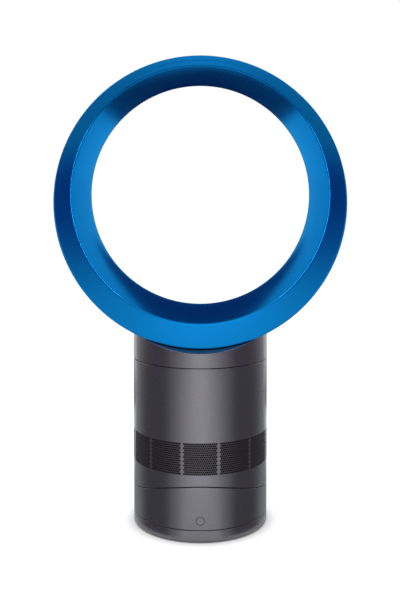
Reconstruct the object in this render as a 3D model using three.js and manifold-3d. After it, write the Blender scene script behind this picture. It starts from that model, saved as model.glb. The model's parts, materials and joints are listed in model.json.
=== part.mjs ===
// Bladeless desk fan: an eccentric ring nozzle on a round pedestal that tilts and swings.
//
// Millimetres, +Z up, the air leaves towards -Y. The origin is the centre of the footprint, on the table.
// Four assemblies ride on one another: the foot stays put, the lower body swings on the foot about Z,
// the fan body with the nozzle tilts on the lower body about X, and the impeller spins in the fan body.

import * as THREE from "three";
import { mergeVertices } from "three/addons/utils/BufferGeometryUtils.js";
import Module from "manifold-3d";

const wasm = await Module();
wasm.setup();

// ---------------------------------------------------------------- driving dimensions

// Pedestal casings
const BODY_R = 73; // outside radius of every casing
const WALL = 2.5; // casing wall
const SEAM = 0.6; // open joint between two casings
const FIT = 0.3; // gap between pieces that seat on each other
const EDGE = 0.5; // chamfer along each casing joint
const FOOT_SEAM_Z = 13.5; // swing joint between foot and lower body
const TILT_SEAM_Z = 42.6; // lowest point of the curved joint between lower body and fan body
const TILT_SEAM_R = 173.2; // radius of that joint around the tilt axis, which runs along X
const TILT_HALF_RANGE = 10; // degrees each way
const NECK_SEAM_Z = 180.6; // joint between fan body and nozzle collar

// Nozzle ring
const RING_R = 152.5; // outside radius
const RING_RISE = 15.5; // from the neck joint up to the ring's lowest point
const RING_FRONT_Y = -49.5; // frontmost plane
const RING_DEPTH = 95; // front to back
const BORE_LIFT = 8.2; // how far the bore's axis lies above the outer wall's axis
const BAND = 17.5; // mean width of the front bevel, from the rim to the crest
const BEVEL_DEPTH = 7.5; // how far the front bevel runs back to the crest
const RIM = 1.5; // rounding of the front rim
const FLARE = 13.6; // how much the bore narrows from the crest back to the throat
const THROAT_SETBACK = 12; // from the air slot forwards to the throat, which hides the slot
const THROAT_RISE = 1.6; // how much narrower the throat is than the bore behind it
const SLOT = 1.3; // width of the annular air slot
const SLOT_SETBACK = 17; // from the ring's back to the slot
const SHELL = 2.2; // wall of the two nozzle shells
const LIP = 1.1; // thickness of the slot's lip
const NOZZLE_SPIGOT = 8; // how far the front shell reaches into the back shell

// Inlet grille
const PANELS = 12; // perforated panels around the casing
const PANEL_SPAN = 20; // degrees between a panel's outermost holes
const GRILLE_RISE = 32.4; // lowest row of holes above the curved joint's lowest point
const GRILLE_HEIGHT = 24.6; // lowest row to highest row
const GRILLE_ROWS = 3;
const GRILLE_COLUMNS = 3; // holes in a long row; the rows between hold one less
const HOLE_R = 4.6;

// Foot
const FOOT_BOTTOM_Z = 1.5; // the rubber pads stand out below it
const FOOT_ROUND = 1.2; // rounding of the bottom edge
const FLOOR = 2.3; // thickness of the foot's floor
const PAD_COUNT = 4;
const PAD_SPAN = 50; // degrees
const PAD_WIDTH = 8;
const PAD_INSET = 9; // from the casing's outside
const GLIDE_WIDTH = 3; // rib and ring that the lower body glides on
const GLIDE_INSET = 2.5; // from the casing's inside
const GLIDE_HEIGHT = 1.8;
const POST_R = 12; // hollow spindle that the lower body swings on
const POST_BORE_R = 8;
const CLIP_GROOVE = 1.2;
const CLIP_HEIGHT = 1;
const CLIP_WIDTH = 3; // beyond the post's outside
const POST_END = 2.4; // of the post above its clip
const BOSS_WALL = 1.6; // around a screw
const BOSS_RISE = 1.5; // of the screw bosses above the floor
const GLAND_WALL = 1;
const GLAND_FLANGE = 0.7; // wider than the gland, inside the foot
const GLAND_MARGIN = 1.1; // wall above and below the gland

// Swing drive
const GEAR_MODULE = 1.5;
const PINION_TEETH = 12;
const PRESSURE_ANGLE = 25; // degrees
const BACKLASH = 0.4; // across the pitch line
const GEAR_FACE = 6;
const RACK_SPAN = 120; // degrees
const RACK_RIM = 6; // from the pitch line out to the rim
const RACK_SCREWS = 3;
const SCREW_R = 1.5;
const SCREW_HEAD_R = 2.7;
const SCREW_HEAD_H = 1.6;
const SCREW_LENGTH = 5.2;
const SCREW_SINK = 1.4; // of the heads' seats below the rack's top
const SWING_MOTOR_R = 14;
const SWING_MOTOR_H = 18;
const EAR_X = 20; // the motor's two ears reach this far from its axis
const EAR_SCREW_X = 17;
const EAR_HALF_WIDTH = 3.5;
const EAR = 1.5; // thickness
const PINION_SHAFT_R = 2;

// Lower body
const PLATE = 2.5; // swivel plate's thickness
const BUTTON_RISE = 10; // middle of the button above the swing joint
const BUTTON_R = 4.2;
const BUTTON_GUIDE = 7; // depth of the button's guide
const BUTTON_TRAVEL = 0.8;
const BUTTON_SINK = 0.2; // of its face behind the casing's outside
const BUTTON_FLANGE = 1.3; // wider than the button, behind its guide
const BUTTON_GUIDE_WALL = 1.8;
const PLUNGER_R = 1.5;
const SWITCH_REACH = 4.5; // of the switch in front of its board
const BOARD_INSET = 13; // control board behind the casing's inside
const BOARD = 1.6;
const BOARD_MARGIN = 3; // between the board's edges and the casing
const DISPLAY_MARGIN = 3; // between the button's guide and the speed display
const LEG_R = 3.2; // four legs under the cradle
const LEG_INSET = 12.5; // from the casing's inside
const LEG_ANGLES = [34, 146, 214, 326];

// Tilt slide
const HOOK_X = 24; // the two hooks stand this far from the middle
const HOOK_WEB = 3;
const HOOK_FOOT = 9; // width of the hook's foot under the cradle
const HOOK_PLATE = 2;
const SLOT_MARGIN = 4; // solid cradle beyond the ends of the hooks' slots
const CABLE_HOLE_R = 9;

// Fan unit
const MOTOR_R = 25;
const MOTOR_H = 27;
const MOTOR_ROOM = 13; // from the motor out to the bucket's outside
const BUCKET_WALL = 2;
const AIR_GAP = 9.5; // around the impeller housing, inside the casing
const HOUSING_WALL = 2;
const INLET_RISE = 21; // inlet bell's top above the silencer plate
const IMPELLER_H = 26;
const IMPELLER_INSET = 11.5; // blade tips at the outlet, from the housing's outside
const INLET_INSET = 16; // inlet radius less than the outlet's
const TIP_GAP = 0.9;
const BLADES = 9;
const BLADE = 1.4;
const BLADE_WRAP = 62; // degrees that a blade turns by from inlet to outlet
const SHAFT_R = 2.5;
const BEARING_R = 6.2;
const BEARING_H = 4;
const VANES = 9;
const VANE = 1.6;
const VANE_WRAP = 40;
const SUPPORTS = 3;
const ISOLATOR_R = 5;
const ISOLATOR_H = 5.5;
const POST_FOOT_R = 3; // posts under the isolators
const STUD_R = 1.6; // their studs, through the isolators
const STATOR_POLES = 6;

// Facets
const RING_FACETS = 36; // nozzle
const ROUND = 36; // casings
const MEDIUM = 16; // fan unit
const FEW = 12; // motor and spindle
const SMALL = 10; // posts, screws and bores
const ARC_FACETS = 60; // around the tilt axis

// ---------------------------------------------------------------- sizes that follow

const INNER_R = BODY_R - WALL;
const INSERT_R = INNER_R - FIT; // what sits inside a casing

const FOOT_TOP_Z = FOOT_SEAM_Z - SEAM / 2;
const LOWER_BOTTOM_Z = FOOT_SEAM_Z + SEAM / 2;
const FLOOR_TOP_Z = FOOT_BOTTOM_Z + FLOOR;
const PLATE_Z = LOWER_BOTTOM_Z + 0.1;
const PLATE_TOP_Z = PLATE_Z + PLATE;
const GLIDE_TOP_Z = PLATE_Z - FIT;
const GLIDE_Z = GLIDE_TOP_Z - GLIDE_HEIGHT;
const GLIDE_OUTER_R = INNER_R - GLIDE_INSET;
const GLIDE_INNER_R = GLIDE_OUTER_R - GLIDE_WIDTH;
const CLIP_Z = PLATE_TOP_Z + 0.6;

const RACK_ROOM = 11; // between the pitch line and the glide ring
const RACK_TEETH = 4 * Math.floor((GLIDE_INNER_R - RACK_ROOM) / (2 * GEAR_MODULE)); // full circle
const RACK_R = (GEAR_MODULE * RACK_TEETH) / 2;
const RACK_RIM_R = RACK_R + RACK_RIM;
const PINION_Y = RACK_R - (GEAR_MODULE * PINION_TEETH) / 2;
const GEAR_Z = FLOOR_TOP_Z + 1.1;
const GEAR_TOP_Z = GEAR_Z + GEAR_FACE;
const BOSS_TOP_Z = FLOOR_TOP_Z + BOSS_RISE;
const BOSS_R = SCREW_R + FIT + BOSS_WALL;
const SCREW_SEAT_Z = GEAR_TOP_Z - SCREW_SINK;

const TILT_AXIS_Z = TILT_SEAM_Z + TILT_SEAM_R;
const CRADLE_R = TILT_SEAM_R + SEAM / 2; // concave top of the cradle
const CRADLE_UNDER_R = CRADLE_R + WALL;
const RUNNER_R = TILT_SEAM_R - SEAM / 2; // convex underside of the fan body
const HOOK_TOP_R = CRADLE_UNDER_R + SEAM;

const CASE_TOP_Z = NECK_SEAM_Z - SEAM / 2;
const COLLAR_Z = NECK_SEAM_Z + SEAM / 2;
const SPIGOT_R = INNER_R - 2; // collar's spigot inside the casing
const SPIGOT_BORE_R = SPIGOT_R - WALL;
const SPIGOT_Z = CASE_TOP_Z - 10.3;

const SILENCER_Z = TILT_AXIS_Z - Math.sqrt((RUNNER_R - WALL) ** 2 - INSERT_R ** 2) + 0.6;
const SILENCER_TOP_Z = SILENCER_Z + 2;
const INLET_Z = SILENCER_TOP_Z + INLET_RISE;
const IMPELLER_TOP_Z = INLET_Z + IMPELLER_H;
const HOUSING_R = INNER_R - AIR_GAP;
const HOUSING_BORE_R = HOUSING_R - HOUSING_WALL;
const HOUSING_TOP_Z = SPIGOT_Z - 8;
const IMPELLER_R = HOUSING_R - IMPELLER_INSET;
const INLET_R = IMPELLER_R - INLET_INSET;
const BUCKET_R = MOTOR_R + MOTOR_ROOM;
const BUCKET_Z = IMPELLER_TOP_Z + 2.5;
const HUB_R = BUCKET_R - 4;
const SUPPORT_CIRCLE_R = HOUSING_R - 4.5;
const ISOLATOR_Z = INLET_Z + 8;
const ISOLATOR_TOP_Z = ISOLATOR_Z + ISOLATOR_H;

const RING_Z = NECK_SEAM_Z + RING_RISE + RING_R; // axis of the ring's outer wall
const RING_BACK_Y = RING_FRONT_Y + RING_DEPTH;
const CREST_R = RING_R - BAND;
const CREST_Y = RING_FRONT_Y + BEVEL_DEPTH;
const THROAT_R = CREST_R - FLARE; // narrowest place of the bore
const LIP_R = THROAT_R + THROAT_RISE;
const SLOT_Y = RING_BACK_Y - SLOT_SETBACK;
const THROAT_Y = SLOT_Y - THROAT_SETBACK;
const COANDA_R = LIP_R + LIP + SLOT; // bore radius just in front of the slot
const SHELL_SEAM_Y = RING_FRONT_Y + 3.4;
const SADDLE_R = RING_R + FIT;
const BACK_BEND = 18; // length of the ring's rounded back

// ---------------------------------------------------------------- materials

const finish = (color, roughness, metalness = 0) =>
  new THREE.MeshStandardMaterial({ color, roughness, metalness });

const BLUE = finish("#0b55a6", 0.28);
const IRON = finish("#77757b", 0.42, 0.35);
const DARK = finish("#2a2b2e", 0.6);
const NATURAL = finish("#d8d6cf", 0.55);
const RUBBER = finish("#1d1d1f", 0.9);
const FOAM = finish("#3a3a3d", 1);
const STEEL = finish("#b9bcc0", 0.3, 1);
const LAMINATE = finish("#1f5a34", 0.5);
const COPPER = finish("#7a4a2c", 0.45, 0.8);

// ---------------------------------------------------------------- shape tools

const rad = THREE.MathUtils.degToRad;
const mix = THREE.MathUtils.lerp;

// A closed three.js geometry as a manifold-3d solid.
function solid(geometry) {
  const bare = new THREE.BufferGeometry();
  bare.setAttribute("position", geometry.getAttribute("position").clone());
  bare.setIndex(geometry.index);
  const merged = mergeVertices(bare, 1e-4);
  return new wasm.Manifold(
    new wasm.Mesh({
      numProp: 3,
      vertProperties: new Float32Array(merged.getAttribute("position").array),
      triVerts: new Uint32Array(merged.index.array),
    }),
  );
}

// A manifold-3d solid as a three.js geometry.
function geometryOf(made) {
  const mesh = made.getMesh();
  const geometry = new THREE.BufferGeometry();
  geometry.setAttribute("position", new THREE.BufferAttribute(mesh.vertProperties, 3));
  geometry.setIndex(new THREE.BufferAttribute(mesh.triVerts, 1));
  geometry.computeVertexNormals();
  return geometry;
}

const union = (...solids) => solids.reduce((sum, each) => sum.add(each));

// Twice the signed area of a closed outline.
function doubleArea(points) {
  return points.reduce((sum, [x, y], i) => {
    const [nextX, nextY] = points[(i + 1) % points.length];
    return sum + x * nextY - nextX * y;
  }, 0);
}

// Points along an arc, angles in degrees.
const arcPoints = (x, y, r, from, to, steps) =>
  Array.from({ length: steps + 1 }, (_, i) => {
    const angle = rad(mix(from, to, i / steps));
    return [x + r * Math.cos(angle), y + r * Math.sin(angle)];
  });

// A revolve about the Z axis, of a closed outline of [radius, z] points.
function turned(points, facets = MEDIUM) {
  const outline = doubleArea(points) > 0 ? [...points] : [...points].reverse();
  const profile = [...outline, outline[0]].map(([r, z]) => new THREE.Vector2(r, z));
  return solid(new THREE.LatheGeometry(profile, facets).rotateX(Math.PI / 2));
}

const drum = (r, z0, z1, facets = SMALL) =>
  solid(
    new THREE.CylinderGeometry(r, r, z1 - z0, facets)
      .rotateX(Math.PI / 2)
      .translate(0, 0, (z0 + z1) / 2),
  );

const tube = (r0, r1, z0, z1, facets = SMALL) =>
  turned([[r0, z0], [r1, z0], [r1, z1], [r0, z1]], facets);

const block = (x0, x1, y0, y1, z0, z1) =>
  solid(
    new THREE.BoxGeometry(x1 - x0, y1 - y0, z1 - z0).translate(
      (x0 + x1) / 2,
      (y0 + y1) / 2,
      (z0 + z1) / 2,
    ),
  );

// A cylinder along Y.
const peg = (r, y0, y1, x, z, facets = SMALL) =>
  solid(
    new THREE.CylinderGeometry(r, r, y1 - y0, facets).translate(x, (y0 + y1) / 2, z),
  );

// A cylinder along X, around the tilt axis.
const tiltDrum = (r, x0, x1) =>
  solid(
    new THREE.CylinderGeometry(r, r, x1 - x0, ARC_FACETS)
      .rotateZ(Math.PI / 2)
      .translate((x0 + x1) / 2, 0, TILT_AXIS_Z),
  );

// A cylinder along Y, around the axis of the ring's outer wall.
const ringDrum = (r) =>
  solid(
    new THREE.CylinderGeometry(r, r, 2 * BODY_R + 4, RING_FACETS).translate(0, 0, RING_Z),
  );

const extruded = (shape, z0, z1, curveSegments = SMALL) =>
  solid(
    new THREE.ExtrudeGeometry(shape, {
      depth: z1 - z0,
      bevelEnabled: false,
      curveSegments,
    }).translate(0, 0, z0),
  );

// A stretch of a flat ring between two angles, in degrees from +X.
function arcPlate(r0, r1, from, to, z0, z1, step) {
  const shape = new THREE.Shape();
  shape.absarc(0, 0, r1, rad(from), rad(to), false);
  shape.absarc(0, 0, r0, rad(to), rad(from), true);
  return extruded(shape, z0, z1, Math.ceil((to - from) / step));
}

// The same stretch of ring around the tilt axis, centred below it, from x0 to x1.
const tiltArc = (r0, r1, halfArc, x0, x1) =>
  arcPlate(r0, r1, -90 - halfArc, -90 + halfArc, x0, x1, 7)
    .rotate([90, 0, 0])
    .rotate([0, 0, 90])
    .translate([0, 0, TILT_AXIS_Z]);

const around = (made, degrees) => made.rotate([0, 0, degrees]);

// Copies of a solid spaced evenly around the Z axis.
const ringOf = (count, made, first = 0) =>
  Array.from({ length: count }, (_, i) => around(made, first + (360 / count) * i));

// ---------------------------------------------------------------- scene graph

const fan = new THREE.Group();
const foot = new THREE.Group();
const lowerBody = new THREE.Group();
const fanBody = new THREE.Group();
const spinner = new THREE.Group();
const nozzle = new THREE.Group();
nozzle.position.z = RING_Z;
fan.add(foot, lowerBody, fanBody);
fanBody.add(spinner, nozzle);

function place(group, name, made, material, position = [0, 0, 0], turn = 0) {
  const mesh = new THREE.Mesh(geometryOf(made), material);
  mesh.name = name;
  mesh.position.set(...position);
  mesh.rotation.z = rad(turn);
  group.add(mesh);
}

// ---------------------------------------------------------------- gears

const involute = (angle) => Math.tan(angle) - angle;

// The outline of an external spur gear. thickness is the tooth's width on the pitch circle,
// and steps is the number of straight stretches along each flank.
function gearShape(teeth, addendum, dedendum, thickness, steps) {
  const pitchR = (GEAR_MODULE * teeth) / 2;
  const baseR = pitchR * Math.cos(rad(PRESSURE_ANGLE));
  const halfAngleAt = (r) => {
    const angle = Math.acos(Math.min(1, baseR / r));
    return thickness / 2 / pitchR + involute(rad(PRESSURE_ANGLE)) - involute(angle);
  };
  const radii = Array.from({ length: steps + 1 }, (_, i) =>
    mix(pitchR - dedendum, pitchR + addendum, i / steps),
  );
  const outline = [];
  for (let tooth = 0; tooth < teeth; tooth += 1) {
    const middle = (2 * Math.PI * tooth) / teeth;
    const point = (r, side) => {
      const angle = middle + side * halfAngleAt(r);
      return new THREE.Vector2(r * Math.cos(angle), r * Math.sin(angle));
    };
    outline.push(...radii.map((r) => point(r, -1)));
    outline.push(...[...radii].reverse().map((r) => point(r, 1)));
  }
  return new THREE.Shape(outline);
}

// ---------------------------------------------------------------- blades

// A row of curved blades. hub(s) and tip(s) give [radius, z] along the blade, s from 0 to 1,
// and wrap(s) gives the angle in degrees that the blade has turned by there.
function bladeRow({ count, hub, tip, wrap, thickness, steps }) {
  const corners = [];
  for (let i = 0; i <= steps; i += 1) {
    const s = i / steps;
    const at = ([r, z], side) => {
      const angle = rad(wrap(s)) + (side * thickness) / 2 / r;
      return [r * Math.cos(angle), r * Math.sin(angle), z];
    };
    corners.push(at(hub(s), 1), at(tip(s), 1), at(tip(s), -1), at(hub(s), -1));
  }
  // A twisted face is split from the hub's edge to the next tip on both sides of the blade,
  // so that the two sides stay parallel.
  const faces = [];
  for (let i = 0; i < steps; i += 1) {
    for (let side = 0; side < 4; side += 1) {
      const a = 4 * i + side;
      const b = 4 * i + ((side + 1) % 4);
      if (side === 2) faces.push(a, a + 4, b, a + 4, b + 4, b);
      else faces.push(a, b + 4, b, a, a + 4, b + 4);
    }
  }
  const last = 4 * steps;
  faces.push(0, 1, 2, 0, 2, 3, last, last + 2, last + 1, last, last + 3, last + 2);
  const geometry = new THREE.BufferGeometry();
  geometry.setAttribute("position", new THREE.Float32BufferAttribute(corners.flat(), 3));
  geometry.setIndex(faces);
  return ringOf(count, solid(geometry));
}

// ---------------------------------------------------------------- foot

const rackScrewSpots = Array.from({ length: RACK_SCREWS }, (_, i) => {
  const end = RACK_SPAN / 2 - 8;
  const angle = rad(mix(90 - end, 90 + end, i / (RACK_SCREWS - 1)));
  return [(RACK_RIM_R + 1) * Math.cos(angle), (RACK_RIM_R + 1) * Math.sin(angle)];
});

const atScrews = (made) => rackScrewSpots.map(([x, y]) => made.translate([x, y, 0]));

const footPad = () =>
  arcPlate(
    BODY_R - PAD_INSET - PAD_WIDTH,
    BODY_R - PAD_INSET,
    -PAD_SPAN / 2,
    PAD_SPAN / 2,
    0,
    FOOT_BOTTOM_Z - FIT,
    18,
  );

const GLAND_R = (FOOT_TOP_Z - FLOOR_TOP_Z) / 2 - GLAND_MARGIN;
const GLAND_FLANGE_R = GLAND_R + GLAND_FLANGE;
const GLAND_Z = (FLOOR_TOP_Z + FOOT_TOP_Z) / 2;

function footShell() {
  const shell = turned(
    [
      [0, FOOT_BOTTOM_Z],
      ...arcPoints(BODY_R - FOOT_ROUND, FOOT_BOTTOM_Z + FOOT_ROUND, FOOT_ROUND, -90, 0, 1),
      [BODY_R, FOOT_TOP_Z - EDGE],
      [BODY_R - EDGE, FOOT_TOP_Z],
      [INNER_R, FOOT_TOP_Z],
      [INNER_R, FLOOR_TOP_Z],
      [GLIDE_OUTER_R, FLOOR_TOP_Z],
      [GLIDE_OUTER_R, GLIDE_Z - FIT],
      [GLIDE_INNER_R, GLIDE_Z - FIT],
      [GLIDE_INNER_R, FLOOR_TOP_Z],
      [0, FLOOR_TOP_Z],
    ],
    ROUND,
  );
  const grooveR = POST_R - CLIP_GROOVE;
  const postTopZ = CLIP_Z + CLIP_HEIGHT + POST_END;
  const post = turned(
    [
      [POST_R, FLOOR_TOP_Z - 1],
      [POST_R, CLIP_Z - FIT],
      [grooveR, CLIP_Z - FIT],
      [grooveR, CLIP_Z + CLIP_HEIGHT + FIT],
      [POST_R, CLIP_Z + CLIP_HEIGHT + FIT],
      [POST_R, postTopZ],
      [POST_BORE_R, postTopZ],
      [POST_BORE_R, FLOOR_TOP_Z - 1],
    ],
    FEW,
  );
  const boss = drum(BOSS_R, FLOOR_TOP_Z - 1, BOSS_TOP_Z);
  const pilot = drum(SCREW_R + FIT, FLOOR_TOP_Z - 1.4, BOSS_TOP_Z + 1, 6);
  const gland = peg(GLAND_R + FIT, GLIDE_INNER_R - 1, BODY_R + 1, 0, GLAND_Z);
  const flange = peg(GLAND_FLANGE_R + FIT, GLIDE_INNER_R - 1, INNER_R + 0.1, 0, GLAND_Z);
  return union(shell, post, ...atScrews(boss)).subtract(
    union(gland, flange, ...atScrews(pilot)),
  );
}

// An arc of an internal gear: a plain rim, cut with the outline of a gear of as many teeth.
function swingRack() {
  const rim = arcPlate(
    RACK_R - 0.7 * GEAR_MODULE,
    RACK_RIM_R,
    90 - RACK_SPAN / 2,
    90 + RACK_SPAN / 2,
    BOSS_TOP_Z + FIT,
    GEAR_TOP_Z,
    8,
  );
  const space = (Math.PI * GEAR_MODULE) / 2 + BACKLASH / 2;
  const cutter = extruded(
    gearShape(RACK_TEETH, 1.15 * GEAR_MODULE, 0.9 * GEAR_MODULE, space, 1),
    FLOOR_TOP_Z,
    GEAR_TOP_Z + 1,
  );
  const lug = drum(BOSS_R, BOSS_TOP_Z + FIT, SCREW_SEAT_Z);
  const hole = drum(SCREW_R + FIT, 0, GEAR_TOP_Z + 1, 6);
  const headRoom = drum(SCREW_HEAD_R + FIT, SCREW_SEAT_Z, GEAR_TOP_Z + 1);
  return union(rim, ...atScrews(lug)).subtract(
    union(cutter, ...atScrews(hole), ...atScrews(headRoom)),
  );
}

// A self-tapping screw whose head seats on z = 0.
const screw = (length) =>
  union(drum(SCREW_R, -length, 0.2, 6), drum(SCREW_HEAD_R, 0, SCREW_HEAD_H, 8)).subtract(
    drum(1.1, 0.7, 2, 4),
  );

const cordGland = () =>
  union(
    peg(GLAND_R, INNER_R - 0.6, BODY_R - 0.3, 0, GLAND_Z),
    peg(GLAND_FLANGE_R, GLIDE_OUTER_R, INNER_R - 0.3, 0, GLAND_Z),
  ).subtract(peg(GLAND_R - GLAND_WALL, GLIDE_INNER_R, BODY_R + 1, 0, GLAND_Z));

place(foot, "foot_shell", footShell(), IRON);
for (let i = 0; i < PAD_COUNT; i += 1) {
  const turn = 45 + (360 / PAD_COUNT) * i;
  place(foot, `foot_pad_${i + 1}`, footPad(), RUBBER, [0, 0, 0], turn);
}
place(
  foot,
  "glide_ring",
  tube(GLIDE_INNER_R + FIT, GLIDE_OUTER_R - FIT, GLIDE_Z, GLIDE_TOP_Z, MEDIUM),
  NATURAL,
);
place(foot, "swing_rack", swingRack(), NATURAL);
rackScrewSpots.forEach(([x, y], i) => {
  place(foot, `rack_screw_${i + 1}`, screw(SCREW_LENGTH), STEEL, [x, y, SCREW_SEAT_Z + 0.1]);
});
place(foot, "cord_gland", cordGland(), RUBBER);

// ---------------------------------------------------------------- lower body

const BUTTON_Z = FOOT_SEAM_Z + BUTTON_RISE;
const BUTTON_FLANGE_R = BUTTON_R + BUTTON_FLANGE;
const GUIDE_Y = -BODY_R + BUTTON_GUIDE; // back end of the button's guide
const BOARD_Y = -INNER_R + BOARD_INSET;
const BOARD_HALF_WIDTH = Math.sqrt((INSERT_R - BOARD_MARGIN) ** 2 - BOARD_Y ** 2);
const BOARD_TOP_Z = TILT_AXIS_Z - Math.sqrt(CRADLE_UNDER_R ** 2 - BOARD_Y ** 2) - 6;
const PLUNGER_Y = BOARD_Y - SWITCH_REACH;

function lowerBodyShell() {
  const top = TILT_AXIS_Z - Math.sqrt(CRADLE_R ** 2 - BODY_R ** 2) + 2;
  const shell = turned(
    [
      [BODY_R - EDGE, LOWER_BOTTOM_Z],
      [BODY_R, LOWER_BOTTOM_Z + EDGE],
      [BODY_R, top],
      [INNER_R, top],
      [INNER_R, LOWER_BOTTOM_Z],
    ],
    ROUND,
  );
  const guide = peg(BUTTON_R + BUTTON_GUIDE_WALL, -BODY_R + 1, GUIDE_Y, 0, BUTTON_Z);
  return shell
    .add(guide)
    .subtract(peg(BUTTON_R + FIT, -BODY_R - 1, GUIDE_Y + 1, 0, BUTTON_Z, 16))
    .subtract(tiltDrum(CRADLE_R, -BODY_R - 1, BODY_R + 1));
}

const powerButton = () =>
  union(
    peg(BUTTON_R, -BODY_R + BUTTON_SINK, GUIDE_Y + 0.5, 0, BUTTON_Z, 16),
    peg(BUTTON_FLANGE_R, GUIDE_Y + FIT, GUIDE_Y + 1.5, 0, BUTTON_Z),
    peg(PLUNGER_R, GUIDE_Y + 1, PLUNGER_Y - BUTTON_TRAVEL - 0.1, 0, BUTTON_Z, 8),
  );

function swivelPlate() {
  const disc = tube(POST_R + 0.4, INSERT_R, PLATE_Z, PLATE_TOP_Z, ROUND);
  const shaftHole = drum(4, 0, 30).translate([0, PINION_Y, 0]);
  const boardPosts = [-1, 1].map((side) =>
    block(-3, 3, BOARD_Y + BOARD + FIT, BOARD_Y + 5, PLATE_TOP_Z - 0.5, BOARD_TOP_Z - 7)
      .translate([side * (BOARD_HALF_WIDTH - 9), 0, 0]),
  );
  return union(disc, ...boardPosts).subtract(shaftHole);
}

// Angle that the hooks' slots reach to each way, so that the cradle stays whole beyond them.
const SLOT_HALF_ARC = THREE.MathUtils.radToDeg(
  Math.asin(
    (Math.sqrt(INSERT_R ** 2 - (HOOK_X + HOOK_WEB) ** 2) - SLOT_MARGIN) / CRADLE_R,
  ),
);
const HOOK_HALF_ARC = SLOT_HALF_ARC - TILT_HALF_RANGE - 0.5;

// A curved plate around the tilt axis that fills the inside of a casing.
const saddlePlate = (r) =>
  tiltDrum(r + WALL, -INSERT_R, INSERT_R)
    .subtract(tiltDrum(r, -INSERT_R - 1, INSERT_R + 1))
    .intersect(drum(INSERT_R, 0, TILT_AXIS_Z, ROUND))
    .subtract(drum(CABLE_HOLE_R, 0, TILT_AXIS_Z));

// The concave saddle that the fan body slides on, standing on four legs.
function tiltCradle() {
  const half = HOOK_WEB / 2 + 0.8;
  const slots = [-HOOK_X, HOOK_X].map((x) =>
    tiltArc(CRADLE_R - 2, CRADLE_UNDER_R + 2, SLOT_HALF_ARC, x - half, x + half),
  );
  const underside = tiltDrum(CRADLE_R + WALL / 2, -INSERT_R, INSERT_R);
  const legs = LEG_ANGLES.map((angle) =>
    around(
      drum(LEG_R, PLATE_TOP_Z + FIT, TILT_AXIS_Z / 3).translate([INSERT_R - LEG_INSET, 0, 0]),
      angle,
    ).subtract(underside),
  );
  return union(saddlePlate(CRADLE_R).subtract(union(...slots)), ...legs);
}

function swingMotor() {
  const base = PLATE_TOP_Z + FIT;
  const can = drum(SWING_MOTOR_R, base, base + SWING_MOTOR_H, MEDIUM);
  const ears = block(-EAR_X, EAR_X, -EAR_HALF_WIDTH, EAR_HALF_WIDTH, base, base + EAR);
  const earHoles = [-EAR_SCREW_X, EAR_SCREW_X].map((x) =>
    drum(SCREW_R + FIT, 0, base + SWING_MOTOR_H, 8).translate([x, 0, 0]),
  );
  const bore = drum(PINION_SHAFT_R + FIT, 0, base + 4.5, FEW);
  return union(can, ears).subtract(union(bore, ...earHoles));
}

function swingPinion() {
  const tooth = (Math.PI * GEAR_MODULE) / 2 - BACKLASH / 2;
  const gear = extruded(
    gearShape(PINION_TEETH, 0.9 * GEAR_MODULE, 0.95 * GEAR_MODULE, tooth, 1),
    GEAR_Z,
    GEAR_TOP_Z - 0.6,
  );
  return around(gear, 90).add(drum(PINION_SHAFT_R, GEAR_Z, PLATE_TOP_Z + 4));
}

place(lowerBody, "lower_body_shell", lowerBodyShell(), IRON);
place(lowerBody, "swivel_plate", swivelPlate(), DARK);
place(
  lowerBody,
  "spindle_clip",
  tube(POST_R - CLIP_GROOVE + FIT, POST_R + CLIP_WIDTH, CLIP_Z, CLIP_Z + CLIP_HEIGHT, MEDIUM).subtract(
    block(-7, 7, 0, POST_R + 4, 0, CLIP_Z + 4),
  ),
  STEEL,
);
place(lowerBody, "tilt_cradle", tiltCradle(), DARK);
place(lowerBody, "swing_motor", swingMotor(), STEEL, [0, PINION_Y, 0]);
place(lowerBody, "swing_pinion", swingPinion(), NATURAL, [0, PINION_Y, 0]);
place(lowerBody, "power_button", powerButton(), IRON);
place(
  lowerBody,
  "control_board",
  block(
    -BOARD_HALF_WIDTH,
    BOARD_HALF_WIDTH,
    BOARD_Y,
    BOARD_Y + BOARD,
    PLATE_TOP_Z + 1.5,
    BOARD_TOP_Z,
  ),
  LAMINATE,
);
place(
  lowerBody,
  "button_switch",
  union(
    block(-3, 3, BOARD_Y - 3.8, BOARD_Y - FIT, BUTTON_Z - 3, BUTTON_Z + 3),
    peg(1.7, PLUNGER_Y, BOARD_Y - 3.5, 0, BUTTON_Z, 10),
  ),
  DARK,
);
place(
  lowerBody,
  "speed_display",
  block(-9, 9, GUIDE_Y + DISPLAY_MARGIN, BOARD_Y - FIT, BOARD_TOP_Z - 11, BOARD_TOP_Z - 2),
  DARK,
);
place(
  lowerBody,
  "remote_receiver",
  union(
    block(13, 19, BOARD_Y - 4, BOARD_Y - FIT, BOARD_TOP_Z - 10, BOARD_TOP_Z - 3),
    peg(2.4, BOARD_Y - 6, BOARD_Y - 3.5, 16, BOARD_TOP_Z - 6.5, 10),
  ),
  DARK,
);

// ---------------------------------------------------------------- fan body casing

// One perforated panel's holes: staggered rows of square holes turned on their points.
function panelHoles() {
  const holes = [];
  for (let row = 0; row < GRILLE_ROWS; row += 1) {
    const count = GRILLE_COLUMNS - (row % 2);
    const z = TILT_SEAM_Z + GRILLE_RISE + (GRILLE_HEIGHT * row) / (GRILLE_ROWS - 1);
    for (let column = 0; column < count; column += 1) {
      const angle = ((column - (count - 1) / 2) * PANEL_SPAN) / (GRILLE_COLUMNS - 1);
      holes.push(around(peg(HOLE_R, -BODY_R - 1, -INNER_R + 1, 0, z, 4), angle));
    }
  }
  return union(...holes);
}

const LUG_ANGLES = [30, 150, 270];
const LUG_SPAN = 22;

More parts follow.
